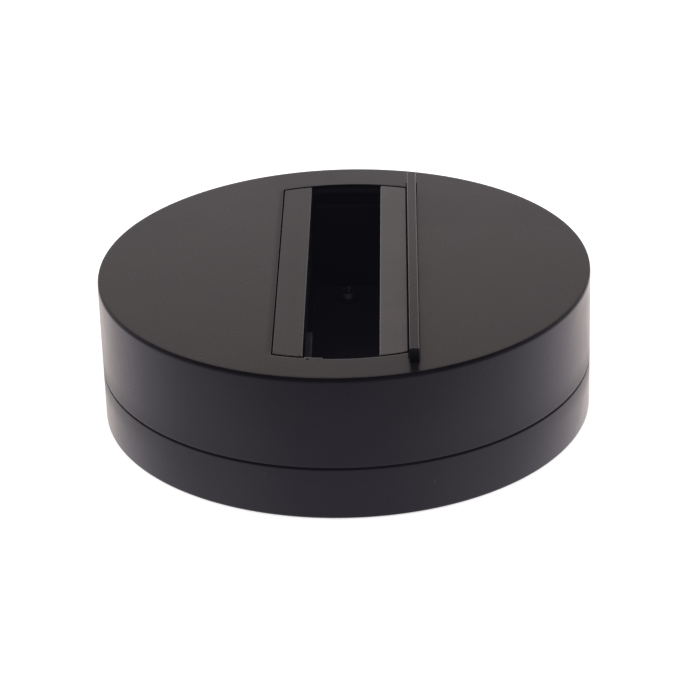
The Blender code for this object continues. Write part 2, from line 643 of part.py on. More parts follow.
def build_pole(number, y):
    """Contact bar, clamping screw and cage of one pole."""
    bar = boxes("contact_bar_%d" % number, [((BAR_START_X, y - BAR_Y, BAR_Z - BAR_HALF),
                                             (BAR_TAIL_X, y + BAR_Y, BAR_Z + BAR_HALF))], PARTS)
    bevel(bar, FINE_BEVEL)
    finish(bar, "brass", smooth=False)

    screw = lathe("terminal_screw_%d" % number, CLAMP_SCREW_PROFILE, (POLE_X, y), 12)
    boolean(screw, boxes("clamp_slot_%d" % number, [
        ((POLE_X - CLAMP_SLOT_X, y - DRIVER_HALF_W, CLAMP_SLOT_Z0),
         (POLE_X + CLAMP_SLOT_X, y + DRIVER_HALF_W, CLAMP_SLOT_Z1))]))
    finish(screw, "zinc_steel")

    cage = boxes("terminal_cage_%d" % number, [((POLE_X - CAGE_X, y - CAGE_Y, CAGE_Z0),
                                                (POLE_X + CAGE_X, y + CAGE_Y, CAGE_Z1))],
                 PARTS, (POLE_X, y, CAGE_Z0))
    boolean(cage, boxes("cage_window_%d" % number, [
        ((POLE_X - WINDOW_X, y - MOUTH_Y, WINDOW_Z0),
         (POLE_X + WINDOW_X, y + MOUTH_Y, MOUTH_Z1))]))
    boolean(cage, drum("cage_thread_%d" % number, THREAD_R, THREAD_Z0, THREAD_Z1,
                       (POLE_X, y), 12))
    finish(cage, "brass")


# -------------------------------------------- fixing screws, earth and links
def build_fixing(tag, y):
    """Captive cross-head screw and its retaining washer."""
    screw = lathe("fixing_screw_" + tag, FIXING_SCREW_PROFILE, (0, y), 16)
    arms = [boxes("cross_%s_%s" % (tag, letter), [((-half_x, y - half_y, CROSS_Z0),
                                                   (half_x, y + half_y, CROSS_Z1))])
            for letter, half_x, half_y in (("a", CROSS_ARM, CROSS_HALF_W),
                                           ("b", CROSS_HALF_W, CROSS_ARM))]
    boolean(arms[0], arms[1], "UNION")
    boolean(screw, arms[0])
    finish(screw, "zinc_steel")
    washer = lathe("retaining_washer_" + tag, WASHER_PROFILE, (0, y), 16, closed=True)
    finish(washer, "rubber_black")


def build_earth():
    """Tag with a tongue, and the screw that enters the track wall along +X."""
    tag = boxes("earth_tag", [(TAG_LOW, TAG_HIGH)], PARTS)
    boolean(tag, boxes("earth_tongue", [(TONGUE_LOW, TONGUE_HIGH)]), "UNION")
    boolean(tag, cylinders("tag_hole", EARTH_HOLE_R, [
        ((-18, EARTH_Y, EARTH_Z), (-15, EARTH_Y, EARTH_Z))]))
    finish(tag, "brass")

    screw = lathe("earth_screw", EARTH_SCREW_PROFILE, (TAG_LOW[0], EARTH_Y), 12, z=EARTH_Z)
    screw.rotation_euler = (0, math.pi / 2, 0)
    boolean(screw, boxes("earth_screw_slot", [
        ((EARTH_SLOT_X0, EARTH_Y - SCREW_SLOT_HALF_L, EARTH_Z - DRIVER_HALF_W),
         (EARTH_SLOT_X1, EARTH_Y + SCREW_SLOT_HALF_L, EARTH_Z + DRIVER_HALF_W))]))
    finish(screw, "zinc_steel")


def build_link(name, mat, radius, points):
    curve = bpy.data.curves.new(name, "CURVE")
    curve.dimensions = "3D"
    curve.bevel_depth = WIRE_R * MM
    curve.bevel_resolution = 1
    curve.use_fill_caps = True
    path = rounded(points, radius)
    spline = curve.splines.new("POLY")
    spline.points.add(len(path) - 1)
    for point, place in zip(spline.points, path):
        point.co = (place.x * MM, place.y * MM, place.z * MM, 1.0)
    spline.use_smooth = True
    finish(new_object(name, curve, PARTS), mat, smooth=False)


# ---------------------------------------------------------------- assembly
build_base_cup()
build_base_fittings()
build_cover()
build_rib()
build_track()
build_insulator("insulator_left", -1, -INNER_X0 - GAP)
build_insulator("insulator_right", 1, INNER_X1 - GAP)
for name, side, groove in (("conductor_l1", -1, 0), ("conductor_l2", -1, 1),
                           ("conductor_n", 1, 0), ("conductor_l3", 1, 1)):
    build_conductor(name, side, groove)
for tag, sign in ENDS:
    build_end_cap(tag, sign)
    build_bracket(tag, sign)
    build_fixing(tag, sign * FIX_Y)
    build_pan_screw("terminal_block_screw_" + tag, EAR_X, sign * EAR_Y,
                    BLOCK_Z1 - BLOCK_SCREW_SEAT_DEPTH, BLOCK_SCREW_TIP)
    for x_tag, sx in SIDES:
        build_pan_screw("bracket_screw_%s_%s" % (x_tag, tag), sx * BOSS_X, sign * STRAP_Y,
                        FOOT_Z - GAP, BRACKET_SCREW_TIP)
build_terminal_block()
for number, y in enumerate(POLES, 1):
    build_pole(number, y)
build_earth()
for link in LINKS:
    build_link(*link)

bpy.context.view_layer.update()
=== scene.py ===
"""Looks for a round track-light point outlet: two satin black shells, the track
section in its channel, the polarity rib and everything inside.

The disc lies flat on the floor with its axis on Z and its mounting face at z = 0.
The track runs along Y, the front is -Y and the left is -X. Shapes are written in
millimetres; the scene, the materials and the studio are in metres.
"""

import math

import bmesh
import bpy
from mathutils import Matrix, Vector


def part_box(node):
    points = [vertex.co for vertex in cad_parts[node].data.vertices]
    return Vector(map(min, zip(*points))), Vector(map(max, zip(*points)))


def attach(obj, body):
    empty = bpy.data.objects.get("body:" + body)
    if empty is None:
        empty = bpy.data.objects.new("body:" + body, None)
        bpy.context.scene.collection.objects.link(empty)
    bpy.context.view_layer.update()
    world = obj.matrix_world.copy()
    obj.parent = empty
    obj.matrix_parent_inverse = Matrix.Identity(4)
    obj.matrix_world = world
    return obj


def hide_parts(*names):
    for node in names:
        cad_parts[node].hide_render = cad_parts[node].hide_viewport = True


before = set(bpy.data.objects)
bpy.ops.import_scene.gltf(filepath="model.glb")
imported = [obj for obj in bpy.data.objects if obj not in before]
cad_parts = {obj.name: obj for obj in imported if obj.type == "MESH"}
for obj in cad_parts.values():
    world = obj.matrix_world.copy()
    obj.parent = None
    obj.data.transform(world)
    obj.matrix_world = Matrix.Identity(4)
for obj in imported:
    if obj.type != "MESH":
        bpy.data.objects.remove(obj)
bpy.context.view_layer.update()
MM = 0.001

SCENE = bpy.context.scene
PIECES = bpy.data.collections.new("pieces")
SCENE.collection.children.link(PIECES)
TOOLS = bpy.data.collections.new("tools")
SCENE.collection.children.link(TOOLS)


# ======================================================================
# measures from the CAD, and profiles
# ======================================================================
def span(node):
    """Lowest and highest corner of a CAD node, in mm."""
    lo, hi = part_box(node)
    return lo / MM, hi / MM


def stand(node):
    """Axis x and y, bottom and top of an upright CAD node."""
    lo, hi = span(node)
    return (lo.x + hi.x) / 2, (lo.y + hi.y) / 2, lo.z, hi.z


def fillet(path, closed=False):
    """Round the corners of a profile of (u, v[, radius[, steps]]) points."""
    n = len(path)
    out = []
    for i, point in enumerate(path):
        u, v, radius, steps = (*point, *(0.0, 5)[len(point) - 2:])
        if radius <= 0 or (not closed and i in (0, n - 1)):
            out.append((u, v))
            continue
        before = Vector(path[(i - 1) % n][:2])
        corner = Vector((u, v))
        after = Vector(path[(i + 1) % n][:2])
        back, ahead = (before - corner).normalized(), (after - corner).normalized()
        half = math.acos(max(-1, min(1, back.dot(ahead)))) / 2
        reach = radius / math.tan(half)
        centre = corner + (back + ahead).normalized() * (radius / math.sin(half))
        first = corner + back * reach - centre
        last = corner + ahead * reach - centre
        start, end = math.atan2(first.y, first.x), math.atan2(last.y, last.x)
        turn = (end - start + math.pi) % (2 * math.pi) - math.pi
        for k in range(steps + 1):
            angle = start + turn * k / steps
            out.append((centre.x + radius * math.cos(angle), centre.y + radius * math.sin(angle)))
    return out


def offset(poly, distance):
    """Mitred outward offset of a counter-clockwise outline."""
    n = len(poly)
    out = []
    for i in range(n):
        a, b, c = Vector(poly[i - 1]), Vector(poly[i]), Vector(poly[(i + 1) % n])
        arriving, leaving = (b - a).normalized(), (c - b).normalized()
        normal_in = Vector((arriving.y, -arriving.x))
        normal_out = Vector((leaving.y, -leaving.x))
        mitre = (normal_in + normal_out).normalized()
        out.append(tuple(b + mitre * distance / max(0.35, mitre.dot(normal_in))))
    return out


def hold_flats(profile):
    """Add loops that keep long walls and wide floors flat next to their rounded edges."""
    wall_inset, floor_inset, floor_mid = 0.35, 0.4, 30.0
    full = []
    for a, b in zip(profile, profile[1:]):
        full.append(a)
        if abs(a[1] - b[1]) > 5:
            d = math.copysign(wall_inset, b[1] - a[1])
            full += [(a[0], a[1] + d), (b[0], b[1] - d)]
        elif b[0] - a[0] > 20:
            full += [(floor_mid, a[1]), (b[0] - floor_inset, b[1])]
        elif a[0] - b[0] > 20:
            full += [(a[0] - floor_inset, a[1]), (floor_mid, a[1])]
    full.append(profile[-1])
    return full


# ======================================================================
# mesh helpers (millimetres in, metres out)
# ======================================================================
def add_object(name, bm, col=PIECES):
    mesh = bpy.data.meshes.new(name)
    bm.to_mesh(mesh)
    bm.free()
    ob = bpy.data.objects.new(name, mesh)
    col.objects.link(ob)
    return ob


def ring(bm, radius, z, segs, at=(0, 0)):
    return [bm.verts.new(((at[0] + radius * math.cos(2 * math.pi * i / segs)) * MM,
                          (at[1] + radius * math.sin(2 * math.pi * i / segs)) * MM, z * MM))
            for i in range(segs)]


def bridge(bm, a, b):
    n = len(a)
    for i in range(n):
        j = (i + 1) % n
        bm.faces.new((a[i], b[i], b[j], a[j]))


def rim_edges(bm, loop):
    """Open edges along a loop of vertices."""
    verts = set(loop)
    return [e for e in bm.edges
            if e.verts[0] in verts and e.verts[1] in verts and len(e.link_faces) == 1]


def lathe(name, profile, segs=96, at=(0, 0), closed=False, col=PIECES):
    """Solid of revolution from (radius, z) points; a zero radius makes a pole."""
    bm = bmesh.new()
    loops = []
    for radius, z in profile:
        if radius < 1e-6:
            loops.append([bm.verts.new((at[0] * MM, at[1] * MM, z * MM))])
        else:
            loops.append(ring(bm, radius, z, segs, at))
    pairs = list(zip(loops, loops[1:]))
    if closed:
        pairs.append((loops[-1], loops[0]))
    for a, b in pairs:
        if len(a) == len(b):
            bridge(bm, a, b)
            continue
        for i in range(segs):
            j = (i + 1) % segs
            if len(a) == 1:
                bm.faces.new((a[0], b[i], b[j]))
            else:
                bm.faces.new((a[i], b[0], a[j]))
    bmesh.ops.recalc_face_normals(bm, faces=bm.faces)
    return add_object(name, bm, col)


def block(name, lo, hi, edge=0.0, segments=2, col=PIECES):
    """Box with rounded edges."""
    bm = bmesh.new()
    lo, hi = Vector(lo), Vector(hi)
    bmesh.ops.create_cube(bm, size=1.0, matrix=Matrix.Translation((lo + hi) / 2 * MM)
                          @ Matrix.Diagonal((*((hi - lo) * MM), 1.0)))
    if edge > 0:
        bmesh.ops.bevel(bm, geom=list(bm.edges), offset=edge * MM, segments=segments,
                        profile=0.5, affect="EDGES", clamp_overlap=True)
    return add_object(name, bm, col)


def cylinder(name, radius, start, end, segs=48):
    """Round tool between two points."""
    a, b = Vector(start) * MM, Vector(end) * MM
    turn = (b - a).to_track_quat("Z", "Y").to_matrix().to_4x4()
    bm = bmesh.new()
    bmesh.ops.create_cone(bm, cap_ends=True, segments=segs, radius1=radius * MM,
                          radius2=radius * MM, depth=(b - a).length,
                          matrix=Matrix.Translation((a + b) / 2) @ turn)
    return add_object(name, bm, TOOLS)


def prism(name, outline, z0, z1):
    """Vertical tool on a counter-clockwise outline."""
    bm = bmesh.new()
    lower = [bm.verts.new((x * MM, y * MM, z0 * MM)) for x, y in outline]
    upper = [bm.verts.new((x * MM, y * MM, z1 * MM)) for x, y in outline]
    bm.faces.new(list(reversed(lower)))
    bm.faces.new(upper)
    bridge(bm, upper, lower)
    bmesh.ops.recalc_face_normals(bm, faces=bm.faces)
    return add_object(name, bm, TOOLS)


def threaded(name, crest, root, z0, z1, pitch, at, segs):
    """Threaded shank as a tool, the thread tapered away at both ends."""
    steps = max(8, int((z1 - z0) / pitch * 8))
    bm = bmesh.new()
    loops = []
    for k in range(steps + 1):
        z = z0 + (z1 - z0) * k / steps
        fade = min(1.0, (z - z0) / pitch, (z1 - z) / pitch)
        loop = []
        for i in range(segs):
            angle = 2 * math.pi * i / segs
            phase = (z / pitch - i / segs) % 1.0
            tooth = 1.0 - abs(2 * phase - 1.0)
            radius = root + (crest - root) * tooth * fade
            loop.append(bm.verts.new(((at[0] + radius * math.cos(angle)) * MM,
                                      (at[1] + radius * math.sin(angle)) * MM, z * MM)))
        loops.append(loop)
    for a, b in zip(loops, loops[1:]):
        bridge(bm, b, a)
    bm.faces.new(list(reversed(loops[0])))
    bm.faces.new(loops[-1])
    bmesh.ops.recalc_face_normals(bm, faces=bm.faces)
    return add_object(name, bm, TOOLS)


def cut(ob, tool, operation="DIFFERENCE"):
    m = ob.modifiers.new("cut", "BOOLEAN")
    m.operation = operation
    m.solver = "EXACT"
    m.object = tool


def join(ob, tool):
    cut(ob, tool, "UNION")


def drill(ob, name, radius, start, end, segs=48):
    cut(ob, cylinder(name, radius, start, end, segs))


def bake(ob, sharp=30.0):
    """Apply the modifiers, drop the tools and shade by angle."""
    bpy.context.view_layer.update()
    depsgraph = bpy.context.evaluated_depsgraph_get()
    mesh = bpy.data.meshes.new_from_object(ob.evaluated_get(depsgraph))
    tools = [m.object for m in ob.modifiers]
    ob.modifiers.clear()
    old, ob.data = ob.data, mesh
    mesh.name = ob.name
    bpy.data.meshes.remove(old)
    for tool in tools:
        bpy.data.objects.remove(tool, do_unlink=True)
    bm = bmesh.new()
    bm.from_mesh(mesh)
    bmesh.ops.remove_doubles(bm, verts=bm.verts, dist=1e-7)
    bm.to_mesh(mesh)
    bm.free()
    mesh.shade_smooth()
    mesh.set_sharp_from_angle(angle=math.radians(sharp))
    w = ob.modifiers.new("flat_faces", "WEIGHTED_NORMAL")
    w.mode = "FACE_AREA"
    w.weight = 50
    w.keep_sharp = True
    return ob


def finish(ob, body, material, node, sharp=32):
    """Bake a piece and put it in the place of its CAD node."""
    bake(ob, sharp)
    ob.data.materials.clear()
    ob.data.materials.append(material)
    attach(ob, body)
    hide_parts(node)


# ======================================================================
# node helpers
# ======================================================================
class Graph:
    """Node tree of a material or a world, emptied and ready to fill."""

    def __init__(self, owner):
        owner.use_nodes = True
        self.tree = owner.node_tree
        self.tree.nodes.clear()

    def node(self, kind, inputs=(), **settings):
        """Add a node; inputs are links or values, by order or by socket."""
        made = self.tree.nodes.new("ShaderNode" + kind)
        for key, value in settings.items():
            setattr(made, key, value)
        for key, value in inputs.items() if isinstance(inputs, dict) else enumerate(inputs):
            self.feed(made.inputs[key], value)
        return made

    def feed(self, socket, value):
        if isinstance(value, bpy.types.NodeSocket):
            self.tree.links.new(value, socket)
        elif socket.type == "RGBA":
            socket.default_value = (*value, 1.0)
        else:
            socket.default_value = value

    def out(self, kind, *inputs, **settings):
        """Add a node and give its first output."""
        return self.node(kind, inputs, **settings).outputs[0]

    def math(self, operation, *operands):
        return self.out("Math", *operands, operation=operation)

    def remap(self, value, start, end, low=0.0, high=1.0, **settings):
        """Take start..end to low..high, clamped."""
        return self.out("MapRange", value, start, end, low, high, **settings)

    def smooth(self, value, start, end, low=0.0, high=1.0):
        return self.remap(value, start, end, low, high, interpolation_type="SMOOTHSTEP")

    def mix(self, factor, a, b, **settings):
        return self.node("Mix", {0: factor, 6: a, 7: b}, data_type="RGBA", **settings).outputs[2]

    def ramp(self, factor, stops, gain):
        """Piecewise linear table; the colours are stored divided by the gain."""
        made = self.node("ValToRGB", (factor,))
        made.color_ramp.interpolation = "LINEAR"
        elements = made.color_ramp.elements
        while len(elements) > 1:
            elements.remove(elements[-1])
        for i, (position, color) in enumerate(stops):
            stop = elements[0] if i == 0 else elements.new(position)
            stop.position = position
            color = color if isinstance(color, tuple) else (color, color, color)
            stop.color = (*(min(1.0, v / gain) for v in color), 1.0)
        return made.outputs[0]


class Surface(Graph):
    """A material with one principled shader, patterned in object space."""

    SOCKETS = {"color": "Base Color", "rough": "Roughness", "metal": "Metallic", "ior": "IOR",
               "normal": "Normal", "spec": "Specular IOR Level", "sheen": "Sheen Weight"}

    def __init__(self, name):
        self.material = bpy.data.materials.new(name)
        super().__init__(self.material)
        self.shader = self.node("BsdfPrincipled")
        self.node("OutputMaterial", (self.shader.outputs[0],))
        self.position = self.node("TexCoord").outputs["Object"]

    def stretched(self, scale):
        return self.node("Mapping", {0: self.position, "Scale": scale}).outputs[0]

    def noise(self, scale, detail=3.0, rough=0.55, vector=None, distort=0.0):
        return self.node("TexNoise", {
            "Scale": scale, "Detail": detail, "Roughness": rough, "Distortion": distort,
            "Vector": vector or self.position}).outputs[0]

    def specks(self, scale, radius, shift=0.0):
        """Sparse dots: 1 inside a dot, 0 outside."""
        vector = self.position
        if shift:
            vector = self.node("Mapping", {
                0: vector, "Location": (shift, shift * 1.7, shift * 0.6)}).outputs[0]
        cells = self.node("TexVoronoi", {"Scale": scale, "Vector": vector}).outputs
        # only the cells with the most red get a dot
        pick = self.remap(self.out("SeparateColor", cells["Color"]), 0.80, 0.82)
        dot = self.remap(cells["Distance"], radius, radius * 0.5)
        return self.math("MULTIPLY", pick, dot)

    def axes(self):
        return self.node("SeparateXYZ", (self.position,)).outputs

    def chain(self, operation, parts):
        total = parts[0]
        for part in parts[1:]:
            total = self.math(operation, total, part)
        return total

    def product(self, *parts):
        return self.chain("MULTIPLY", parts)

    def total(self, *parts):
        return self.chain("ADD", parts)

    def size(self, value):
        return self.math("ABSOLUTE", value, 0.0)

    def hypot(self, a, b):
        return self.math("SQRT", self.total(self.product(a, a), self.product(b, b)), 0.0)

    def spread(self, noise, low=0.0, high=1.0):
        """Take the usual range of a noise to low..high."""
        return self.remap(noise, 0.3, 0.7, low, high)

    def fade_in(self, value, start, end, peak=1.0):
        return self.remap(value, start, end, 0.0, peak)

    def fade_out(self, value, start, end, peak=1.0):
        return self.remap(value, start, end, peak, 0.0)

    def bump(self, height, strength, distance, base=None):
        inputs = {"Strength": strength, "Distance": distance, "Height": height}
        if base is not None:
            inputs["Normal"] = base
        return self.node("Bump", inputs).outputs[0]

    def painted_glow(self, amount):
        """Painted glow: a trace of violet-grey emitted light that keeps deep gaps from going pure
        black.
        """
        full_strength = 0.0046
        self.feed(self.shader.inputs["Emission Color"], (0.70, 0.65, 1.0))
        self.feed(self.shader.inputs["Emission Strength"], self.product(amount, full_strength))

    def done(self, **values):
        for key, value in values.items():
            self.feed(self.shader.inputs[self.SOCKETS[key]], value)
        return self.material


# ======================================================================
# materials (metres; colours are linear)
# ======================================================================
SATIN_IOR = 1.44
JOINT_Z = 0.0131                # joint between the two shells


def satin(name, dark, light, rough, grain, blotch, dust):
    """Base of both satin blacks: cloudy sheen, smears, dust, pits and fine grain."""
    s = Surface(name)
    cloud = s.noise(scale=38.0, detail=4.0, rough=0.6, distort=0.6)
    smear = s.noise(scale=14.0, detail=2.0, rough=0.5, vector=s.stretched((1.0, 2.4, 1.0)),
                    distort=1.2)
    fine = s.noise(scale=2600.0, detail=2.0, rough=0.6)
    grit = s.noise(scale=900.0, detail=3.0, rough=0.65)
    color = s.mix(s.remap(cloud, 0.30, 0.72), dark, light)
    dots = s.specks(scale=230.0, radius=0.055)
    pits = s.specks(scale=410.0, radius=0.05, shift=3.7)
    dust_color, dust_cover, pit_rough = (0.20, 0.19, 0.19), 0.35, 0.12
    color = s.mix(s.product(dots, dust_cover * dust), color, dust_color)
    rough = s.total(s.remap(cloud, 0.28, 0.74, low=rough - blotch / 2, high=rough + blotch / 2),
                    s.spread(smear, low=-blotch / 3, high=blotch / 3),
                    s.spread(fine, low=-0.02, high=0.02))
    rough = s.total(rough, s.product(pits, pit_rough))
    normal = s.bump(fine, strength=0.10 * grain, distance=0.00002)
    normal = s.bump(grit, strength=0.08 * grain, distance=0.00004, base=normal)
    return s, color, rough, normal


def duller_specular(s, shine_loss):
    """The usual specular level of 0.5, less the shine_loss share."""
    return s.product(s.math("SUBTRACT", 1.0, shine_loss), 0.5)


def shell_plastic():
    s, color, rough, normal = satin(
        "satin_black_shell", dark=(0.0048, 0.0045, 0.0064), light=(0.0074, 0.0069, 0.0094),
        rough=0.27, grain=1.0, blotch=0.10, dust=0.5)
    # a little rougher beside the joint
    from_joint = s.size(s.math("SUBTRACT", s.axes()[2], JOINT_Z))
    rough = s.total(rough, s.fade_out(from_joint, 0.0018, 0.0052, peak=0.09))
    x, y, z = s.axes()
    along = s.size(y)
    across = s.size(x)
    top = s.fade_in(z, 0.0356, 0.0362)
    # painted shade: less shine in a strip beside the long left edge of the opening
    left_edge_shade = s.product(top, s.fade_in(x, -0.0178, -0.0162, peak=0.52),
                          s.fade_out(x, -0.0161, -0.0159), s.fade_out(along, 0.0455, 0.0475))
    # painted shade: less shine on a patch at the front of the top face
    front = s.product(top, s.fade_in(y, -0.047, -0.054, peak=0.13),
                      s.fade_out(across, 0.012, 0.032))
    # small spot, twice as long as wide, at the rear of the top face
    spot_x, spot_y = -0.0039, 0.0547
    from_spot_x = s.total(x, -spot_x)
    from_spot_y = s.product(s.math("SUBTRACT", y, spot_y), 0.5)
    from_spot = s.hypot(from_spot_x, from_spot_y)
    spot = s.product(top, s.fade_out(from_spot, 0.0005, 0.0022, peak=0.13))
    # the left edge and front masks are painted shade, and the spot is a small mark
    shine_loss = s.total(left_edge_shade, front, spot)
    radius = s.hypot(x, y)
    # painted shade: less shine in a band just under the top edge gives the rim its dark line
    rim = s.product(s.fade_in(z, 0.03500, 0.03565, peak=0.74),
                    s.fade_in(radius, 0.05955, 0.05975))
    most_shine_loss = 0.95
    shine_loss = s.math("MINIMUM", s.total(shine_loss, rim), most_shine_loss)
    # painted glow in the joint and deep inside the shells, so they don't go pure black
    from_joint = s.size(s.math("SUBTRACT", z, JOINT_Z))
    joint = s.product(s.fade_out(from_joint, 0.0003, 0.0005, peak=1.6),
                      s.fade_out(radius, 0.0597, 0.05995))
    inside = s.product(s.fade_out(z, 0.0352, 0.0361), s.fade_in(z, 0.0005, 0.0015),
                       s.fade_out(radius, 0.0580, 0.0596))
    s.painted_glow(s.math("MAXIMUM", joint, inside))
    return s.done(color=color, rough=rough, ior=SATIN_IOR, normal=normal,
                  spec=duller_specular(s, shine_loss))


def rib_plastic():
    s, color, rough, normal = satin(
        "satin_black_rib", dark=(0.0048, 0.0045, 0.0062), light=(0.0070, 0.0066, 0.0088),
        rough=0.22, grain=0.8, blotch=0.06, dust=0.3)
    y = s.axes()[1]
    # painted shade: less shine towards the front, so the rib darkens and its edge highlights fade
    # forwards; it is also rougher towards the front
    shine_loss = s.remap(y, -0.050, 0.005, low=0.27, high=0.03)
    rough = s.total(rough, s.fade_out(y, -0.040, 0.035, peak=0.09))
    return s.done(color=color, rough=rough, ior=SATIN_IOR, normal=normal,
                  spec=duller_specular(s, shine_loss))


def powder_coat(name, dark, light, rough, ior):
    """Black powder coat on an extrusion, with faint draw lines along Y."""
    s = Surface(name)
    cloud = s.noise(scale=60.0, detail=4.0, rough=0.6, distort=0.4)
    lines = s.noise(scale=1.0, detail=3.0, rough=0.6,
                    vector=s.stretched((1800.0, 6.0, 1800.0)))
    fine = s.noise(scale=3200.0, detail=2.0, rough=0.6)
    color = s.mix(s.spread(cloud), dark, light)
    rough = s.total(s.spread(cloud, low=rough - 0.04, high=rough + 0.05),
                    s.spread(lines, low=-0.03, high=0.03))
    normal = s.bump(lines, strength=0.05, distance=0.00002)
    normal = s.bump(fine, strength=0.14, distance=0.00002, base=normal)
    x, y, z = s.axes()
    # painted shade and glow inside the channel: the reflection is cut and only a painted glow is
    # left
    inside = s.fade_out(z, 0.0352, 0.0360)
    s.painted_glow(inside)
    # the lips shine more to the right and to the front
    lips = s.product(s.remap(x, -0.008, 0.008, low=0.44, high=0.90),
                     s.remap(y, -0.046, 0.045, low=1.07, high=0.95))
    inside_loss = 0.9
    shine_left = s.math("SUBTRACT", 1.0, s.product(inside, inside_loss))
    return s.done(color=color, rough=rough, ior=ior, normal=normal,
                  spec=s.product(lips, shine_left))


def moulded(name, dark, light, rough, ior=1.46, painted_light=False):
    """Plain moulded plastic for the parts inside; painted_light adds a painted glow and a painted
    highlight on one edge.
    """
    s = Surface(name)
    cloud = s.noise(scale=70.0, detail=4.0, rough=0.6, distort=0.5)
    fine = s.noise(scale=2400.0, detail=3.0, rough=0.6)
    color = s.mix(s.spread(cloud), dark, light)
    dust_color, dust_cover = (0.35, 0.34, 0.32), 0.2
    dust = s.product(s.specks(scale=300.0, radius=0.06), dust_cover)
    color = s.mix(dust, color, dust_color)
    looks = {"color": color, "ior": ior,
             "rough": s.spread(cloud, low=rough - 0.06, high=rough + 0.07),
             "normal": s.bump(fine, strength=0.12, distance=0.00003)}
    if painted_light:
        s.painted_glow(1.0)
        x, y, z = s.axes()
        # painted highlight on the top right edge of the front cap's key, brightest at its front
        # end
        edge = s.product(s.fade_in(x, -0.00735, -0.0070), s.fade_out(x, -0.0066, -0.0060),
                         s.fade_in(z, 0.0345, 0.0352),
                         s.remap(y, -0.0374, -0.0362, low=1.0, high=0.15))
        base_spec, edge_highlight_spec = 0.3, 0.7
        looks["spec"] = s.total(base_spec, s.product(edge, edge_highlight_spec))
    return s.done(**looks)


def metal(name, dark, light, rough, lines, patina=None, painted_light=False):
    """Bare or plated metal with fine tool lines and a little tarnish."""
    s = Surface(name)
    brush = s.noise(scale=1.0, detail=4.0, rough=0.65, vector=s.stretched(lines))
    cloud = s.noise(scale=180.0, detail=4.0, rough=0.6, distort=0.8)
    color = s.mix(s.remap(brush, 0.25, 0.75), dark, light)
    if patina:
        color = s.mix(s.fade_in(cloud, 0.48, 0.72, peak=0.55), color, patina)
    rough = s.total(s.spread(cloud, low=rough - 0.07, high=rough + 0.10),
                    s.spread(brush, low=-0.05, high=0.05))
    # painted glow, so the part doesn't go pure black down in the channel
    if painted_light:
        s.painted_glow(1.0)
    return s.done(color=color, rough=rough, metal=1.0,
                  normal=s.bump(brush, strength=0.10, distance=0.00003))


def rubber(name, dark, light, rough):
    s = Surface(name)
    cloud = s.noise(scale=150.0, detail=5.0, rough=0.6)
    pores = s.specks(scale=900.0, radius=0.25, shift=1.3)
    fine = s.noise(scale=1800.0, detail=4.0, rough=0.7)
    color = s.mix(s.spread(cloud), dark, light)
    normal = s.bump(fine, strength=0.25, distance=0.00005)
    normal = s.bump(s.math("SUBTRACT", 1.0, pores), strength=0.2, distance=0.00004, base=normal)
    return s.done(color=color, rough=s.spread(cloud, low=rough - 0.08, high=rough + 0.08),
                  normal=normal, sheen=0.08)


def insulation(name, dark, light):
    """Cloudy PVC wire insulation."""
    s = Surface(name)
    cloud = s.noise(scale=260.0, detail=3.0, rough=0.55, distort=0.3)
    fine = s.noise(scale=2600.0, detail=2.0, rough=0.6)
    rough = 0.38
    return s.done(color=s.mix(s.spread(cloud), dark, light), ior=1.5,
                  rough=s.spread(cloud, low=rough - 0.05, high=rough + 0.08),
                  normal=s.bump(fine, strength=0.06, distance=0.00003))


def earth_insulation():
    """Green, with a yellow band at one height that follows the level wire."""
    s = Surface("pvc_green_yellow")
    stripe_z, stripe_half = 0.0251, 0.0004
    stripe = s.math("COMPARE", s.axes()[2], stripe_z, stripe_half)
    green, yellow = (0.06, 0.28, 0.05), (0.75, 0.62, 0.04)
    fine = s.noise(scale=2600.0, detail=2.0, rough=0.6)
    return s.done(color=s.mix(stripe, green, yellow), rough=s.spread(fine, low=0.34, high=0.44),
                  normal=s.bump(fine, strength=0.06, distance=0.00003))


# noise scales per axis: high across the tool lines, low along them
LINES_ALONG_Y = (700.0, 60.0, 700.0)
LINES_ALONG_Z = (500.0, 500.0, 90.0)

SHELL = shell_plastic()
RIB = rib_plastic()
TRACK = powder_coat("black_powder_coat", dark=(0.0055, 0.0052, 0.0068),
                    light=(0.0085, 0.0080, 0.0098), rough=0.30, ior=1.50)
INSULATOR = moulded("black_insulator", dark=(0.0015, 0.0015, 0.002),
                    light=(0.003, 0.0028, 0.0035), rough=0.5, ior=1.10, painted_light=True)
IVORY = moulded("ivory_polyamide", dark=(0.52, 0.49, 0.42), light=(0.64, 0.61, 0.54), rough=0.42)
STEEL = metal("zinc_plated_steel", dark=(0.42, 0.43, 0.45), light=(0.60, 0.61, 0.63), rough=0.30,
              lines=LINES_ALONG_Y, patina=(0.46, 0.44, 0.38))
SCREW = metal("blackened_steel_screw", dark=(0.055, 0.055, 0.060), light=(0.10, 0.10, 0.105),
              rough=0.36, lines=LINES_ALONG_Z, painted_light=True)
ZINC_SCREW = metal("zinc_screw", dark=(0.48, 0.49, 0.50), light=(0.66, 0.67, 0.69), rough=0.26,
                   lines=LINES_ALONG_Z, patina=(0.50, 0.47, 0.38))
BRASS = metal("brass", dark=(0.62, 0.43, 0.16), light=(0.78, 0.58, 0.26), rough=0.28,
              lines=(900.0, 70.0, 900.0), patina=(0.42, 0.27, 0.12))
COPPER = metal("copper", dark=(0.60, 0.25, 0.12), light=(0.80, 0.38, 0.20), rough=0.28,
               lines=(1400.0, 20.0, 1400.0), patina=(0.36, 0.15, 0.09))
RUBBER = rubber("black_rubber", dark=(0.012, 0.012, 0.012), light=(0.022, 0.021, 0.020),
                rough=0.72)
WIRE_BROWN = insulation("pvc_brown", dark=(0.11, 0.035, 0.015), light=(0.15, 0.05, 0.022))
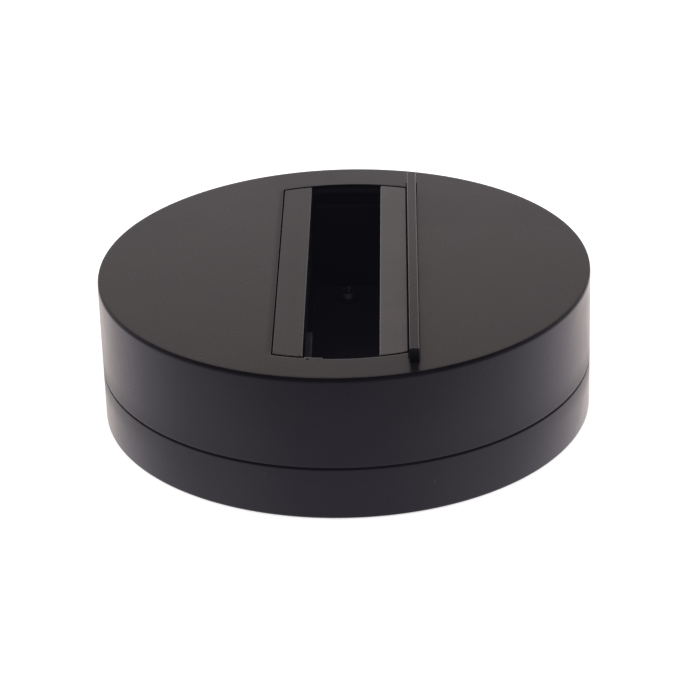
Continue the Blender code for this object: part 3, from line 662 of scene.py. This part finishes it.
WIRE_BLACK = insulation("pvc_black", dark=(0.012, 0.012, 0.013), light=(0.022, 0.022, 0.023))
WIRE_GREY = insulation("pvc_grey", dark=(0.20, 0.20, 0.21), light=(0.26, 0.26, 0.27))
WIRE_BLUE = insulation("pvc_blue", dark=(0.02, 0.08, 0.34), light=(0.03, 0.11, 0.42))
WIRE_EARTH = earth_insulation()

# ======================================================================
# shells, rib, track and end caps
# ======================================================================
SIDES = ((-1, "front"), (1, "rear"))
SHELL_SEGS = 288
cover_lo, cover_hi = span("cover")
rib_lo, rib_hi = span("polarity_rib")
RADIUS = (cover_hi.x - cover_lo.x) / 2
TOP = cover_hi.z
UNDER = TOP - 2.4               # underside of the cover's top plate
BOSS_ROOT = UNDER + 0.8         # bosses reach this far into the plate

# opening: two straight sides between arcs, with a shallow tab in the front arc
OPEN_R_FRONT, OPEN_R_REAR = 50.0, 49.6
OPEN_LEFT, OPEN_RIGHT = -16.1, 15.7
TAB_LEFT, TAB_RIGHT, TAB_R = -8.4, -4.2, 49.45

# places shared between pieces, mirrored front to rear
BOSS_X, BOSS_Y = 21.5, 29.5
TERMINAL_FIX_X, TERMINAL_FIX_Y = -38.0, 24.0
PEG_X, PEG_Y = 16.85, 40.0
FIXING_Y = 38.0


def arc(radius, x0, x1, side, n):
    """Points at even x steps on the front (-1) or rear (1) half of a circle."""
    xs = [x0 + (x1 - x0) * i / n for i in range(n + 1)]
    return [(x, side * math.sqrt(radius * radius - x ** 2)) for x in xs]


def opening_outline():
    points = arc(OPEN_R_FRONT, OPEN_LEFT, TAB_LEFT, -1, 10)
    points += arc(TAB_R, TAB_LEFT, TAB_RIGHT, -1, 6)
    points += arc(OPEN_R_FRONT, TAB_RIGHT, OPEN_RIGHT, -1, 24)
    points += [(OPEN_RIGHT, y) for y in (-30, 0, 30)]
    points += arc(OPEN_R_REAR, OPEN_RIGHT, OPEN_LEFT, 1, 36)
    points += [(OPEN_LEFT, y) for y in (30, 0, -30)]
    return points


def cover_profile():
    """Section of the cover from the top, over the rim, down and back up inside."""
    # rim: a trace of roll, a tight turn, then two long curves into the wall
    # (radius, start and end slope in degrees, steps)
    sweeps = ((20.0, 0.0, 2.5, 3), (0.15, 2.5, 60.0, 6), (1.2, 60.0, 75.0, 3),
              (2.5, 75.0, 90.0, 4))
    rim = [(RADIUS - 1.7, TOP), (RADIUS - 1.2, TOP)]
    for radius, start, end, steps in sweeps:
        u, v = rim[-1]
        start, end = math.radians(start), math.radians(end)
        for k in range(1, steps + 1):
            slope = start + (end - start) * k / steps
            rim.append((u + radius * (math.sin(slope) - math.sin(start)),
                        v - radius * (math.cos(start) - math.cos(slope))))
    # move the rim out so that it ends on the wall
    rim = [(min(u + RADIUS - rim[-1][0], RADIUS), v) for u, v in rim]
    inner_r = 57.6
    bottom = cover_lo.z
    return hold_flats(rim + fillet([
        (RADIUS, UNDER), (RADIUS, bottom, 0.28, 4), (inner_r, bottom, 0.12, 2),
        (inner_r, UNDER, 0.5, 4), (56.5, UNDER)]))


def opening_loops(bm):
    """Vertex loops round the opening, from the top face down to the underside."""
    edge, reach, roll_depth = 0.16, 1.3, 0.062
    # (distance outside the opening, z)
    levels = [(reach, TOP), (1.0, TOP), (0.7, TOP), (edge + 0.25, TOP)]
    for k in range(4):
        angle = math.pi / 2 * k / 3
        levels.append((edge * (1 - math.sin(angle)), TOP - edge * (1 - math.cos(angle))))
    levels += [(0.0, TOP - edge - 0.3), (0.0, UNDER + 0.15), (0.12, UNDER)]
    outline = opening_outline()
    loops = []
    for d, z in levels:
        loop = []
        for x, y in offset(outline, d):
            # the long left edge of the opening is rolled over a little
            rolled = 1.0 if x < OPEN_LEFT + 0.2 and abs(y) < 46 else 0.0
            drop = roll_depth * rolled * (reach - max(d, edge)) ** 2
            loop.append(bm.verts.new((x * MM, y * MM, (z - drop) * MM)))
        loops.append(loop)
    return loops


def cover_boss(ob, name, at, radius, bottom, edge):
    join(ob, lathe(name, fillet([(0, BOSS_ROOT), (radius, BOSS_ROOT),
                                 (radius, bottom, edge, 3), (0, bottom)]), 48, at, col=TOOLS))


def build_cover():
    bm = bmesh.new()
    outer = [ring(bm, radius, z, SHELL_SEGS) for radius, z in cover_profile()]
    for a, b in zip(outer, outer[1:]):
        bridge(bm, a, b)
    inner = opening_loops(bm)
    for a, b in zip(inner, inner[1:]):
        n = len(a)
        for i in range(n):
            j = (i + 1) % n
            bm.faces.new((a[i], a[j], b[j], b[i]))
    for end, up in ((0, 1), (-1, -1)):
        edges = rim_edges(bm, outer[end]) + rim_edges(bm, inner[end])
        bmesh.ops.triangle_fill(bm, use_beauty=True, edges=edges, normal=(0, 0, up))
    bmesh.ops.recalc_face_normals(bm, faces=bm.faces)
    ob = add_object("cover_shell", bm)

    pilot_r = 1.6
    for sx in (-1, 1):
        for sy in (-1, 1):
            x, y = sx * BOSS_X, sy * BOSS_Y
            cover_boss(ob, "boss", (x, y), radius=3.2, bottom=25.5, edge=0.3)
            drill(ob, "pilot", pilot_r, (x, y, 24), (x, y, 31.0), 32)
    for sy in (-1, 1):
        x, y = TERMINAL_FIX_X, sy * TERMINAL_FIX_Y
        cover_boss(ob, "tboss", (x, y), radius=3.0, bottom=31.3, edge=0.25)
        drill(ob, "tpilot", pilot_r, (x, y, 30), (x, y, 34.9), 32)
        y = sy * PEG_Y
        drill(ob, "peg_hole", 1.2, (PEG_X, y, UNDER - 1), (PEG_X, y, TOP), 24)
    # seat of the rib
    cut(ob, block("groove", (rib_lo.x - 0.3, rib_lo.y - 0.3, 34.9),
                  (rib_hi.x + 0.25, rib_hi.y + 0.3, TOP + 2), col=TOOLS))
    finish(ob, "housing", SHELL, "cover")


def build_base():
    wall_top = span("base_cup")[1].z
    wall_in, wall_out = 55.5, 57.3
    floor_z, ledge_z = 2.0, 12.9
    ob = lathe("base_shell", hold_flats(fillet([
        (0, floor_z), (wall_in, floor_z, 0.6, 4), (wall_in, wall_top, 0.2, 2),
        (wall_out, wall_top, 0.4, 3), (wall_out, ledge_z, 0.2, 2),
        (RADIUS, ledge_z, 0.28, 4), (RADIUS, 0, 0.5, 6), (0, 0)])), SHELL_SEGS)
    for sy in (-1, 1):
        y = sy * FIXING_Y
        join(ob, lathe("pillar", fillet([(0, 5.8), (5.0, 5.8, 0.3, 3), (5.0, 1.5), (0, 1.5)]),
                       64, (0, y), col=TOOLS))
        drill(ob, "pillar_bore", 3.3, (0, y, 1.4), (0, y, 8))
    # cable entry at the rear left, spare entry at the front right
    for name, x, y in (("cable_hole", -30, 34), ("spare_hole", 30, -34)):
        drill(ob, name, 7.0, (x, y, -1), (x, y, 4), 64)
    slot_x, half_width, half_length = 38.0, 2.3, 4.7    # half_length: to the end arcs' centres
    for sx in (-1, 1):
        outline = []
        for end in (1, -1):
            for i in range(17):
                angle = math.pi * i / 16
                outline.append((sx * slot_x + end * half_width * math.cos(angle),
                                end * (half_length + half_width * math.sin(angle))))
        cut(ob, prism("screw_slot", outline, -1, 4))
    finish(ob, "base", SHELL, "base_cup")


def build_rib():
    ob = block("rib", (rib_lo.x, rib_lo.y, 35.2), rib_hi, 0.3, 5)
    for sy in (-1, 1):
        y = sy * PEG_Y
        join(ob, cylinder("peg", 0.9, (PEG_X, y, 33.4), (PEG_X, y, 36.5), 24))
    finish(ob, "housing", RIB, "polarity_rib")


def track_outline(x0, x1, z0, z1, floor_z):
    """Open channel with hooked lips, seen along Y, with points at most 1 mm apart along X."""
    wall = 1.6
    lip_x, hook = 8.82, 1.2             # inner faces of the lips, and how thick they hang
    lip_z, hook_z = z1 - 1.6, 32.6      # underside of the lips and of their hooks
    corners = fillet([
        (x0, z0, 0.4, 3), (x1, z0, 0.4, 3), (x1, z1, 0.2, 4), (lip_x, z1, 0.3, 4),
        (lip_x, hook_z, 0.3, 3), (lip_x + hook, hook_z, 0.3, 3), (lip_x + hook, lip_z, 0.15, 2),
        (x1 - wall, lip_z, 0.2, 2), (x1 - wall, floor_z, 0.2, 2), (x0 + wall, floor_z, 0.2, 2),
        (x0 + wall, lip_z, 0.2, 2), (-lip_x - hook, lip_z, 0.15, 2),
        (-lip_x - hook, hook_z, 0.3, 3), (-lip_x, hook_z, 0.3, 3), (-lip_x, z1, 0.3, 4),
        (x0, z1, 0.2, 4)], closed=True)
    dense = []
    for i, p in enumerate(corners):
        q = corners[(i + 1) % len(corners)]
        dense.append(p)
        n = int(abs(p[0] - q[0]) / 1.0)
        for k in range(1, n + 1):
            t = k / (n + 1)
            dense.append((p[0] + (q[0] - p[0]) * t, p[1] + (q[1] - p[1]) * t))
    return dense


def build_track():
    """Extrusion with rounded lips, its two ends cut to an arc."""
    lo, hi = span("track_section")
    floor_z = lo.z + 1.8
    outline = track_outline(lo.x, hi.x, lo.z, hi.z, floor_z)
    end_r = (hi.y - lo.y) / 2
    edge = 0.12
    # (outline, distance back from the end arc)
    end = [(offset(outline, -edge), 0.0), (offset(outline, -edge * 0.3), edge * 0.3),
           (outline, edge), (outline, edge + 0.5)]
    stations = [(-1, *s) for s in end] + [(1, *s) for s in reversed(end)]
    bm = bmesh.new()
    loops = []
    for side, poly, back in stations:
        loops.append([bm.verts.new((x * MM, side * (math.sqrt(end_r * end_r - x * x) - back) * MM,
                                    z * MM)) for x, z in poly])
    for a, b in zip(loops, loops[1:]):
        bridge(bm, a, b)
    for loop in (loops[0], loops[-1]):
        bmesh.ops.triangle_fill(bm, use_beauty=True, edges=rim_edges(bm, loop))
    bmesh.ops.recalc_face_normals(bm, faces=bm.faces)
    ob = add_object("track_extrusion", bm)
    for sy in (-1, 1):
        y = sy * FIXING_Y
        drill(ob, "floor_hole", 2.1, (0, y, lo.z - 1), (0, y, floor_z + 1), 40)
    drill(ob, "earth_hole", 1.6, (-17.5, -21.5, 25), (-13.2, -21.5, 25), 32)
    finish(ob, "housing", TRACK, "track_section")


def build_end_caps():
    for side, tag in SIDES:
        plug_y0, plug_y1 = sorted((side * 44.5, side * 46.6))
        flange_y0, flange_y1 = sorted((side * 46.4, side * 47.7))
        ob = block("cap_" + tag, (-8.4, plug_y0, 9.7), (8.4, plug_y1, 32.3), 0.2)
        join(ob, block("flange", (-12.8, flange_y0, 10.2), (12.8, flange_y1, 31.8), 0.25,
                       col=TOOLS))
        if tag == "front":
            join(ob, block("key", (-8.4, -48.4, 28.5), (-6.75, -34.7, 35.7), 0.22, 3, TOOLS))
        else:
            for x in (-10.9, 10.7):
                for z in (18.5, 26.5):
                    drill(ob, "passage", 1.6, (x, 44, z), (x, 49, z), 32)
        finish(ob, "housing", INSULATOR, "end_cap_" + tag)


# ======================================================================
# screws, cages, rings and the terminal block
# ======================================================================
def cross_cutter(x, y, z0, z1):
    """Cross recess tool, narrowed at its bottom."""
    reach, half_width, bottom_scale = 1.75, 0.36, 0.72
    arms = [block(name, (x - rx, y - ry, z0), (x + rx, y + ry, z1), col=TOOLS)
            for name, rx, ry in (("cross_a", reach, half_width), ("cross_b", half_width, reach))]
    for arm in arms:
        for v in arm.data.vertices:
            if v.co.z < (z0 + 0.01) * MM:
                v.co.x = x * MM + (v.co.x - x * MM) * bottom_scale
                v.co.y = y * MM + (v.co.y - y * MM) * bottom_scale
    join(arms[0], arms[1])
    return bake(arms[0])


def cut_slot(ob, x, y, half_length, bottom, depth):
    """Driver slot in a head that faces down."""
    cut(ob, block("slot", (x - half_length, y - 0.3, bottom - 1),
                  (x + half_length, y + 0.3, bottom + depth), col=TOOLS))


def fixing_screw(tag):
    """Captive screw with its crossed head on top."""
    node = "fixing_screw_" + tag
    x, y, bottom, top = stand(node)
    seat, head_r, thread_r, root_r = 9.7, 3.5, 1.7, 1.42
    ob = lathe("captive_screw_" + tag, fillet([
        (0, top), (1.6, top), (2.6, top - 0.25, 1.0, 5), (head_r, seat + 1.0, 0.8, 5),
        (head_r, seat, 0.15, 2), (thread_r, seat, 0.1, 2), (thread_r, 8.2), (1.45, 8.0),
        (1.45, 7.6), (0, 7.6)]), 72, (x, y))
    join(ob, threaded("shank", thread_r, root_r, bottom + 0.5, 8.1, 0.7, (x, y), 40))
    join(ob, lathe("tip", [(0, bottom + 0.9), (root_r, bottom + 0.9), (root_r, bottom + 0.6),
                           (0.9, bottom), (0, bottom)], 40, (x, y), col=TOOLS))
    cut(ob, cross_cutter(x, y, top - 1.4, top + 1))
    finish(ob, node, SCREW, node)


def small_screw(node, piece, seat, tip):
    """Slotted screw driven from below; its head hangs under the seat."""
    x, y, bottom, _ = stand(node)
    head_r, thread_r = 2.6, 1.3
    root_r = thread_r - 0.2
    ob = lathe(piece, fillet([
        (0, seat + 1.2), (thread_r * 0.9, seat + 1.2), (thread_r, seat), (head_r, seat, 0.12, 2),
        (head_r, seat - 1.2, 0.7, 5), (head_r - 0.8, bottom, 0.5, 4), (0, bottom)]), 56, (x, y))
    join(ob, threaded("shank", thread_r, root_r, seat + 0.1, tip - 0.5, 0.5, (x, y), 32))
    join(ob, lathe("tip", [(0, tip), (0.6, tip), (root_r, tip - 0.5), (root_r, tip - 0.8),
                           (0, tip - 0.8)], 32, (x, y), col=TOOLS))
    cut_slot(ob, x, y, 3.2, bottom, 0.95)
    finish(ob, "housing", ZINC_SCREW, node)


def clamp_screw(i):
    node = "terminal_screw_%d" % i
    x, y, bottom, top = stand(node)
    head_r, head_top, neck_r, tip_r = 1.9, 17.0, 1.05, 0.99
    ob = lathe("clamp_screw_%d" % i, fillet([
        (0, 18.2), (neck_r, 18.2), (neck_r, head_top), (head_r, head_top, 0.12, 2),
        (head_r, bottom, 0.3, 4), (0, bottom)]), 56, (x, y))
    join(ob, threaded("shank", 1.2, 1.0, 17.1, top - 0.5, 0.5, (x, y), 32))
    join(ob, lathe("tip", fillet([(0, top), (tip_r, top, 0.4, 4), (tip_r, top - 0.9),
                                  (0, top - 0.9)]), 32, (x, y), col=TOOLS))
    cut_slot(ob, x, y, 2.5, bottom, 0.9)
    finish(ob, node, ZINC_SCREW, node)


def clamp_cage(i):
    node = "terminal_cage_%d" % i
    lo, hi = span(node)
    x, y, bottom, _ = stand(node)
    ob = block("clamp_cage_%d" % i, lo, hi, 0.3, 3)
    cut(ob, block("window", (lo.x - 1, y - 1.7, bottom + 1.6), (hi.x + 1, y + 1.7, bottom + 7.2),
                  0.3, 3, TOOLS))
    drill(ob, "thread", 1.5, (x, y, bottom - 1), (x, y, bottom + 2), 40)
    finish(ob, node, BRASS, node)


def entry_collar(bottom, top):
    """Outer side of the grommet and the plug: a flange on a neck."""
    flange_r, flange_z, neck_r = 8.6, 2.3, 6.7
    return [(flange_r, top, 0.6, 5), (flange_r, flange_z, 0.25, 3), (neck_r, flange_z, 0.1, 2),
            (neck_r, bottom, 0.4, 4)]


def build_entries():
    x, y, bottom, top = stand("cable_grommet")
    bore_r = 3.6
    ob = lathe("grommet", fillet([(bore_r, top, 0.55, 4), *entry_collar(bottom, top),
                                  (bore_r, bottom, 0.5, 4)], True), 96, (x, y), True)
    finish(ob, "base", RUBBER, "cable_grommet", sharp=40)
    x, y, bottom, top = stand("blanking_plug")
    hollow_r, web_z = 5.4, 1.9
    ob = lathe("entry_plug", fillet([
        (0, top), *entry_collar(bottom, top), (hollow_r, bottom, 0.2, 3),
        (hollow_r, web_z, 0.4, 4), (0, web_z)]), 96, (x, y))
    finish(ob, "base", RUBBER, "blanking_plug", sharp=40)


def build_fixing_rings():
    bore_r, insert_r, groove_r, washer_r = 2.0, 3.0, 2.7, 4.0
    for _, tag in SIDES:
        node = "brass_insert_" + tag
        _, y, bottom, top = stand(node)
        ob = lathe("insert_" + tag, fillet([
            (bore_r, top, 0.15, 2), (insert_r, top, 0.15, 3), (insert_r, 4.3), (groove_r, 4.0),
            (groove_r, 3.4), (insert_r, 3.1), (insert_r, bottom, 0.15, 3),
            (bore_r, bottom, 0.15, 2)], True), 72, (0, y), True)
        finish(ob, "base", BRASS, node)
        node = "retaining_washer_" + tag
        _, y, bottom, top = stand(node)
        ob = lathe("washer_" + tag, fillet([
            (bore_r, top, 0.15, 2), (washer_r, top, 0.25, 3), (washer_r, bottom, 0.25, 3),
            (bore_r, bottom, 0.15, 2)], True), 64, (0, y), True)
        finish(ob, "housing", RUBBER, node)


def build_terminal_block():
    """Ivory block at the left with five poles in a row along Y."""
    lo, hi = span("terminal_block")
    left, right, bottom, top = lo.x, hi.x, lo.z, hi.z
    pitch, pole_x = 8, -44
    poles = [pitch * k for k in (-2, -1, 0, 1, 2)]
    ob = block("terminal_housing", (left, -21, bottom), (right, 21, top), 0.5, 3)
    x = TERMINAL_FIX_X
    for side in (-1, 1):
        y0, y1 = sorted((side * 20.0, side * 27.0))
        join(ob, block("ear", (x - 4, y0, top - 2.2), (x + 4, y1, top - 0.1), 0.4, 3, TOOLS))
        y = side * TERMINAL_FIX_Y
        drill(ob, "ear_hole", 1.6, (x, y, top - 4), (x, y, top + 1), 40)
    for pole in poles[:-1]:             # marks between the poles
        y = pole + pitch / 2
        cut(ob, block("pole_groove", (left - 1, y - 0.35, bottom - 1),
                      (right + 1, y + 0.35, bottom + 0.8), col=TOOLS))
    for y in poles:
        cut(ob, block("chamber", (-47.2, y - 2.9, 18.3), (-40.8, y + 2.9, 29.9), 0.2, col=TOOLS))
        cut(ob, lathe("well", [(0, 17.3), (2.3, 17.3), (2.3, bottom + 0.4), (2.8, bottom - 0.2),
                               (2.8, bottom - 1), (0, bottom - 1)], 48, (pole_x, y), col=TOOLS))
        drill(ob, "neck", 1.5, (pole_x, y, 17.0), (pole_x, y, 18.8), 40)
        cut(ob, block("mouth", (left - 1, y - 1.7, 25.2), (-47.0, y + 1.7, 28.2), col=TOOLS))
        cut(ob, block("bar_slot", (-41.0, y - 1.7, 24.3), (right + 1, y + 1.7, 25.9), col=TOOLS))
    finish(ob, "housing", IVORY, "terminal_block")


# ======================================================================
# nodes carried over from the CAD
# ======================================================================
def carry(node, material, edge=0.0, subdivisions=0):
    """Give a CAD node its material, with softened edges or a smoothed surface."""
    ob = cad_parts[node]
    ob.data.materials.clear()
    ob.data.materials.append(material)
    weld = ob.modifiers.new("weld", "WELD")
    weld.merge_threshold = 0.000002
    if edge:
        bevel = ob.modifiers.new("edge", "BEVEL")
        bevel.width = edge * MM
        bevel.segments = 2
        bevel.limit_method = "ANGLE"
        bevel.angle_limit = math.radians(35)
        bevel.use_clamp_overlap = True
    if subdivisions:
        smooth = ob.modifiers.new("smooth", "SUBSURF")
        smooth.levels = smooth.render_levels = subdivisions
    for polygon in ob.data.polygons:
        polygon.use_smooth = bool(subdivisions)


# (name with a gap for the endings, endings, material, edge width)
CARRIED = (
    ("insulator_%s", ("left", "right"), INSULATOR, 0.2),
    ("conductor_%s", ("l1", "l2", "l3", "n"), COPPER, 0.12),
    ("track_bracket_%s", ("front", "rear"), STEEL, 0.2),
    ("contact_bar_%s", "12345", BRASS, 0.1),
    ("earth_%s", ("tag",), BRASS, 0.12),
    ("earth_%s", ("screw",), ZINC_SCREW, 0.1))
WIRES = (("link_l1", WIRE_BROWN), ("link_l2", WIRE_BLACK), ("link_l3", WIRE_GREY),
         ("link_n", WIRE_BLUE), ("link_earth", WIRE_EARTH))

build_base()
build_cover()
build_rib()
build_track()
build_end_caps()
for _, end_name in SIDES:
    fixing_screw(end_name)
for corner_name in ("left_front", "left_rear", "right_front", "right_rear"):
    small_screw("bracket_screw_" + corner_name, "strap_screw_" + corner_name,
                seat=23.7, tip=30.4)
for _, end_name in SIDES:
    small_screw("terminal_block_screw_" + end_name, "block_screw_" + end_name,
                seat=28.5, tip=34.3)
for number in range(1, 6):
    clamp_screw(number)
    clamp_cage(number)
build_entries()
build_fixing_rings()
build_terminal_block()
for pattern, endings, look, edge_width in CARRIED:
    for ending in endings:
        carry(pattern % ending, look, edge=edge_width)
for wire, look in WIRES:
    carry(wire, look, subdivisions=2)

# ======================================================================
# floor, world, light and camera (metres)
# ======================================================================
# What the satin surfaces mirror from the white sweep: colour by the compass
# angle of the mirrored ray in degrees (0 to the front, 180 to the rear).
SWEEP = (
    (0, (0.559, 0.506, 0.658)),
    (20, (0.592, 0.536, 0.663)),
    (40, (0.745, 0.681, 0.805)),
    (60, (0.893, 0.834, 0.958)),
    (80, (0.905, 0.857, 0.979)),
    (100, (1.060, 0.990, 1.132)),
    (120, (1.256, 1.146, 1.259)),
    (140, (1.350, 1.226, 1.219)),
    (160, (1.444, 1.289, 1.251)),
    (180, (1.400, 1.301, 1.243)))
# Factor by distance from the side of the disc, for front and side rays.
NEAR_FRONT = ((0, 1.10), (0.015, 1.08), (0.03, 1.00), (0.05, 0.86), (0.08, 0.65), (0.13, 0.43))
NEAR_SIDE = ((0, 1.06), (0.015, 0.88), (0.03, 1.00), (0.05, 1.09), (0.08, 0.84), (0.13, 0.56))
NEAR_REACH = 0.130
# Backdrop colour by elevation in degrees: bright low down, dark overhead.
BACKDROP = (
    (0, (1.95, 1.93, 2.0)),
    (4, (1.25, 1.23, 1.31)),
    (8, (1.157, 1.136, 1.210)),
    (16, (1.013, 0.971, 1.017)),
    (24, (0.759, 0.682, 0.671)),
    (32, (0.435, 0.318, 0.234)),
    (40, (0.115, 0.095, 0.085)),
    (50, (0.055, 0.050, 0.048)),
    (62, (0.060, 0.058, 0.062)),
    (90, (0.085, 0.082, 0.088)))
# The ramps hold at most 1, so colours are divided by these and scaled back.
SWEEP_GAIN, NEAR_GAIN, BACKDROP_GAIN = 2.0, 1.5, 2.0
WHITE = (1, 1, 1)


def by_ray(g, plain, seen, mirrored):
    """Choose a shader for camera rays, glossy rays and all the others."""
    path = g.node("LightPath").outputs
    one = g.out("MixShader", path["Is Camera Ray"], plain, seen)
    return g.out("MixShader", path["Is Glossy Ray"], one, mirrored)


def floor_mirror(g, incoming):
    """Emission that reflections see in place of the floor."""
    side = g.math("ABSOLUTE", incoming[0])
    compass = g.math("DIVIDE", g.math("ARCTAN2", side, incoming[1]), math.pi)
    sweep = g.ramp(compass, [(deg / 180.0, c) for deg, c in SWEEP], SWEEP_GAIN)
    position = g.node("TexCoord").outputs["Object"]
    length = g.node("VectorMath", (position,), operation="LENGTH").outputs["Value"]
    disc_r = 0.060
    near = g.math("DIVIDE", g.math("SUBTRACT", length, disc_r), NEAR_REACH)
    front, beside = [g.ramp(near, [(d / NEAR_REACH, v) for d, v in table], NEAR_GAIN)
                     for table in (NEAR_FRONT, NEAR_SIDE)]
    profile = g.mix(g.smooth(compass, 30 / 180, 110 / 180), front, beside)
    color = g.mix(1.0, sweep, profile, blend_type="MULTIPLY")
    # the right side is a little brighter, except straight to the front
    lean = g.smooth(incoming[0], -0.25, 0.25, low=1.075, high=0.925)
    lean = g.math("ADD", 1.0, g.math("MULTIPLY", g.math("SUBTRACT", lean, 1.0),
                                     g.smooth(compass, 0.19, 0.57)))
    return g.out("Emission", color, g.math("MULTIPLY", lean, SWEEP_GAIN * NEAR_GAIN))


def floor_material():
    material = bpy.data.materials.new("pale_floor")
    g = Graph(material)
    geometry = g.node("NewGeometry").outputs
    incoming = g.node("SeparateXYZ", (geometry["Incoming"],)).outputs
    mirrored = floor_mirror(g, incoming)
    plain_glow, seen_glow = 0.34, 0.62
    paper = g.out("BsdfDiffuse", (0.82, 0.815, 0.83))
    plain = g.out("AddShader", paper, g.out("Emission", WHITE, plain_glow))
    seen = g.out("AddShader", paper, g.out("Emission", WHITE, seen_glow))
    above = by_ray(g, plain, seen, mirrored)
    # seen from below the floor lets the view through to the mounting face
    clear = g.out("BsdfTransparent")
    g.node("OutputMaterial", (g.out("MixShader", geometry["Backfacing"], above, clear),))
    return material


def build_floor():
    bm = bmesh.new()
    bmesh.ops.create_grid(bm, x_segments=1, y_segments=1, size=4.0)
    floor = add_object("floor", bm, SCENE.collection)
    floor.location.z = -0.0002
    floor.data.materials.append(floor_material())


def build_world():
    world = bpy.data.worlds.new("studio")
    SCENE.world = world
    g = Graph(world)
    direction = g.node("SeparateXYZ", (g.node("TexCoord").outputs["Generated"],)).outputs
    stops = [(math.sin(math.radians(deg)), color) for deg, color in BACKDROP]
    backdrop = g.ramp(direction[2], stops, BACKDROP_GAIN)
    rear = g.smooth(direction[1], -0.25, 0.25)
    front_color, fill_color = (0.075, 0.072, 0.078), (0.62, 0.60, 0.62)
    mirrored = g.out("Background", g.mix(rear, front_color, backdrop), BACKDROP_GAIN)
    soft = g.out("Background", fill_color, 1.0)
    white = g.out("Background", WHITE, 1.0)
    g.node("OutputWorld", (by_ray(g, soft, white, mirrored),))


def softbox(name, location, size, power):
    """Square lamp aimed at the origin, left out of reflections."""
    light = bpy.data.lights.new(name, "AREA")
    light.shape = "RECTANGLE"
    light.size = light.size_y = size
    light.energy = power
    light.color = WHITE
    ob = bpy.data.objects.new(name, light)
    SCENE.collection.objects.link(ob)
    ob.location = location
    ob.rotation_euler = (-Vector(location)).to_track_quat("-Z", "Y").to_euler()
    ob.visible_glossy = False


def build_camera():
    """Long lens from the front, 27 degrees down, on a 36 mm square."""
    pitch, roll, yaw = 0.466919, -0.0307278, math.radians(1.45)
    target = Vector((0, 0, 0.0364))
    # the target in the camera's own frame: x right, y down, z ahead
    target_in_view = Vector((-0.001536162, -0.020526324, 0.70337601))
    level = Matrix(((1, 0, 0), (0, 0, -1), (0, 1, 0)))      # world to a level view along +Y
    view = Matrix.Rotation(roll, 3, "Z") @ Matrix.Rotation(pitch, 3, "X") @ level
    turn = Matrix.Rotation(yaw, 3, "Z")
    centre = turn @ (-(view.transposed() @ target_in_view)) + target
    axes = Matrix((view[0], -Vector(view[1]), -Vector(view[2]))).transposed()
    data = bpy.data.cameras.new("camera")
    data.sensor_width = 36.0
    data.lens = 148.384903
    data.clip_start = 0.01
    data.clip_end = 30
    camera = bpy.data.objects.new("camera", data)
    SCENE.collection.objects.link(camera)
    camera.matrix_world = Matrix.Translation(centre) @ (turn @ axes).to_4x4()
    SCENE.camera = camera


build_floor()
build_world()
softbox("soft_left", location=(-1.6, -0.2, 1.1), size=1.4, power=14.0)
softbox("soft_right", location=(1.6, -0.1, 1.1), size=1.4, power=14.0)
build_camera()
SCENE.view_settings.view_transform = "Standard"
SCENE.view_settings.look = "None"
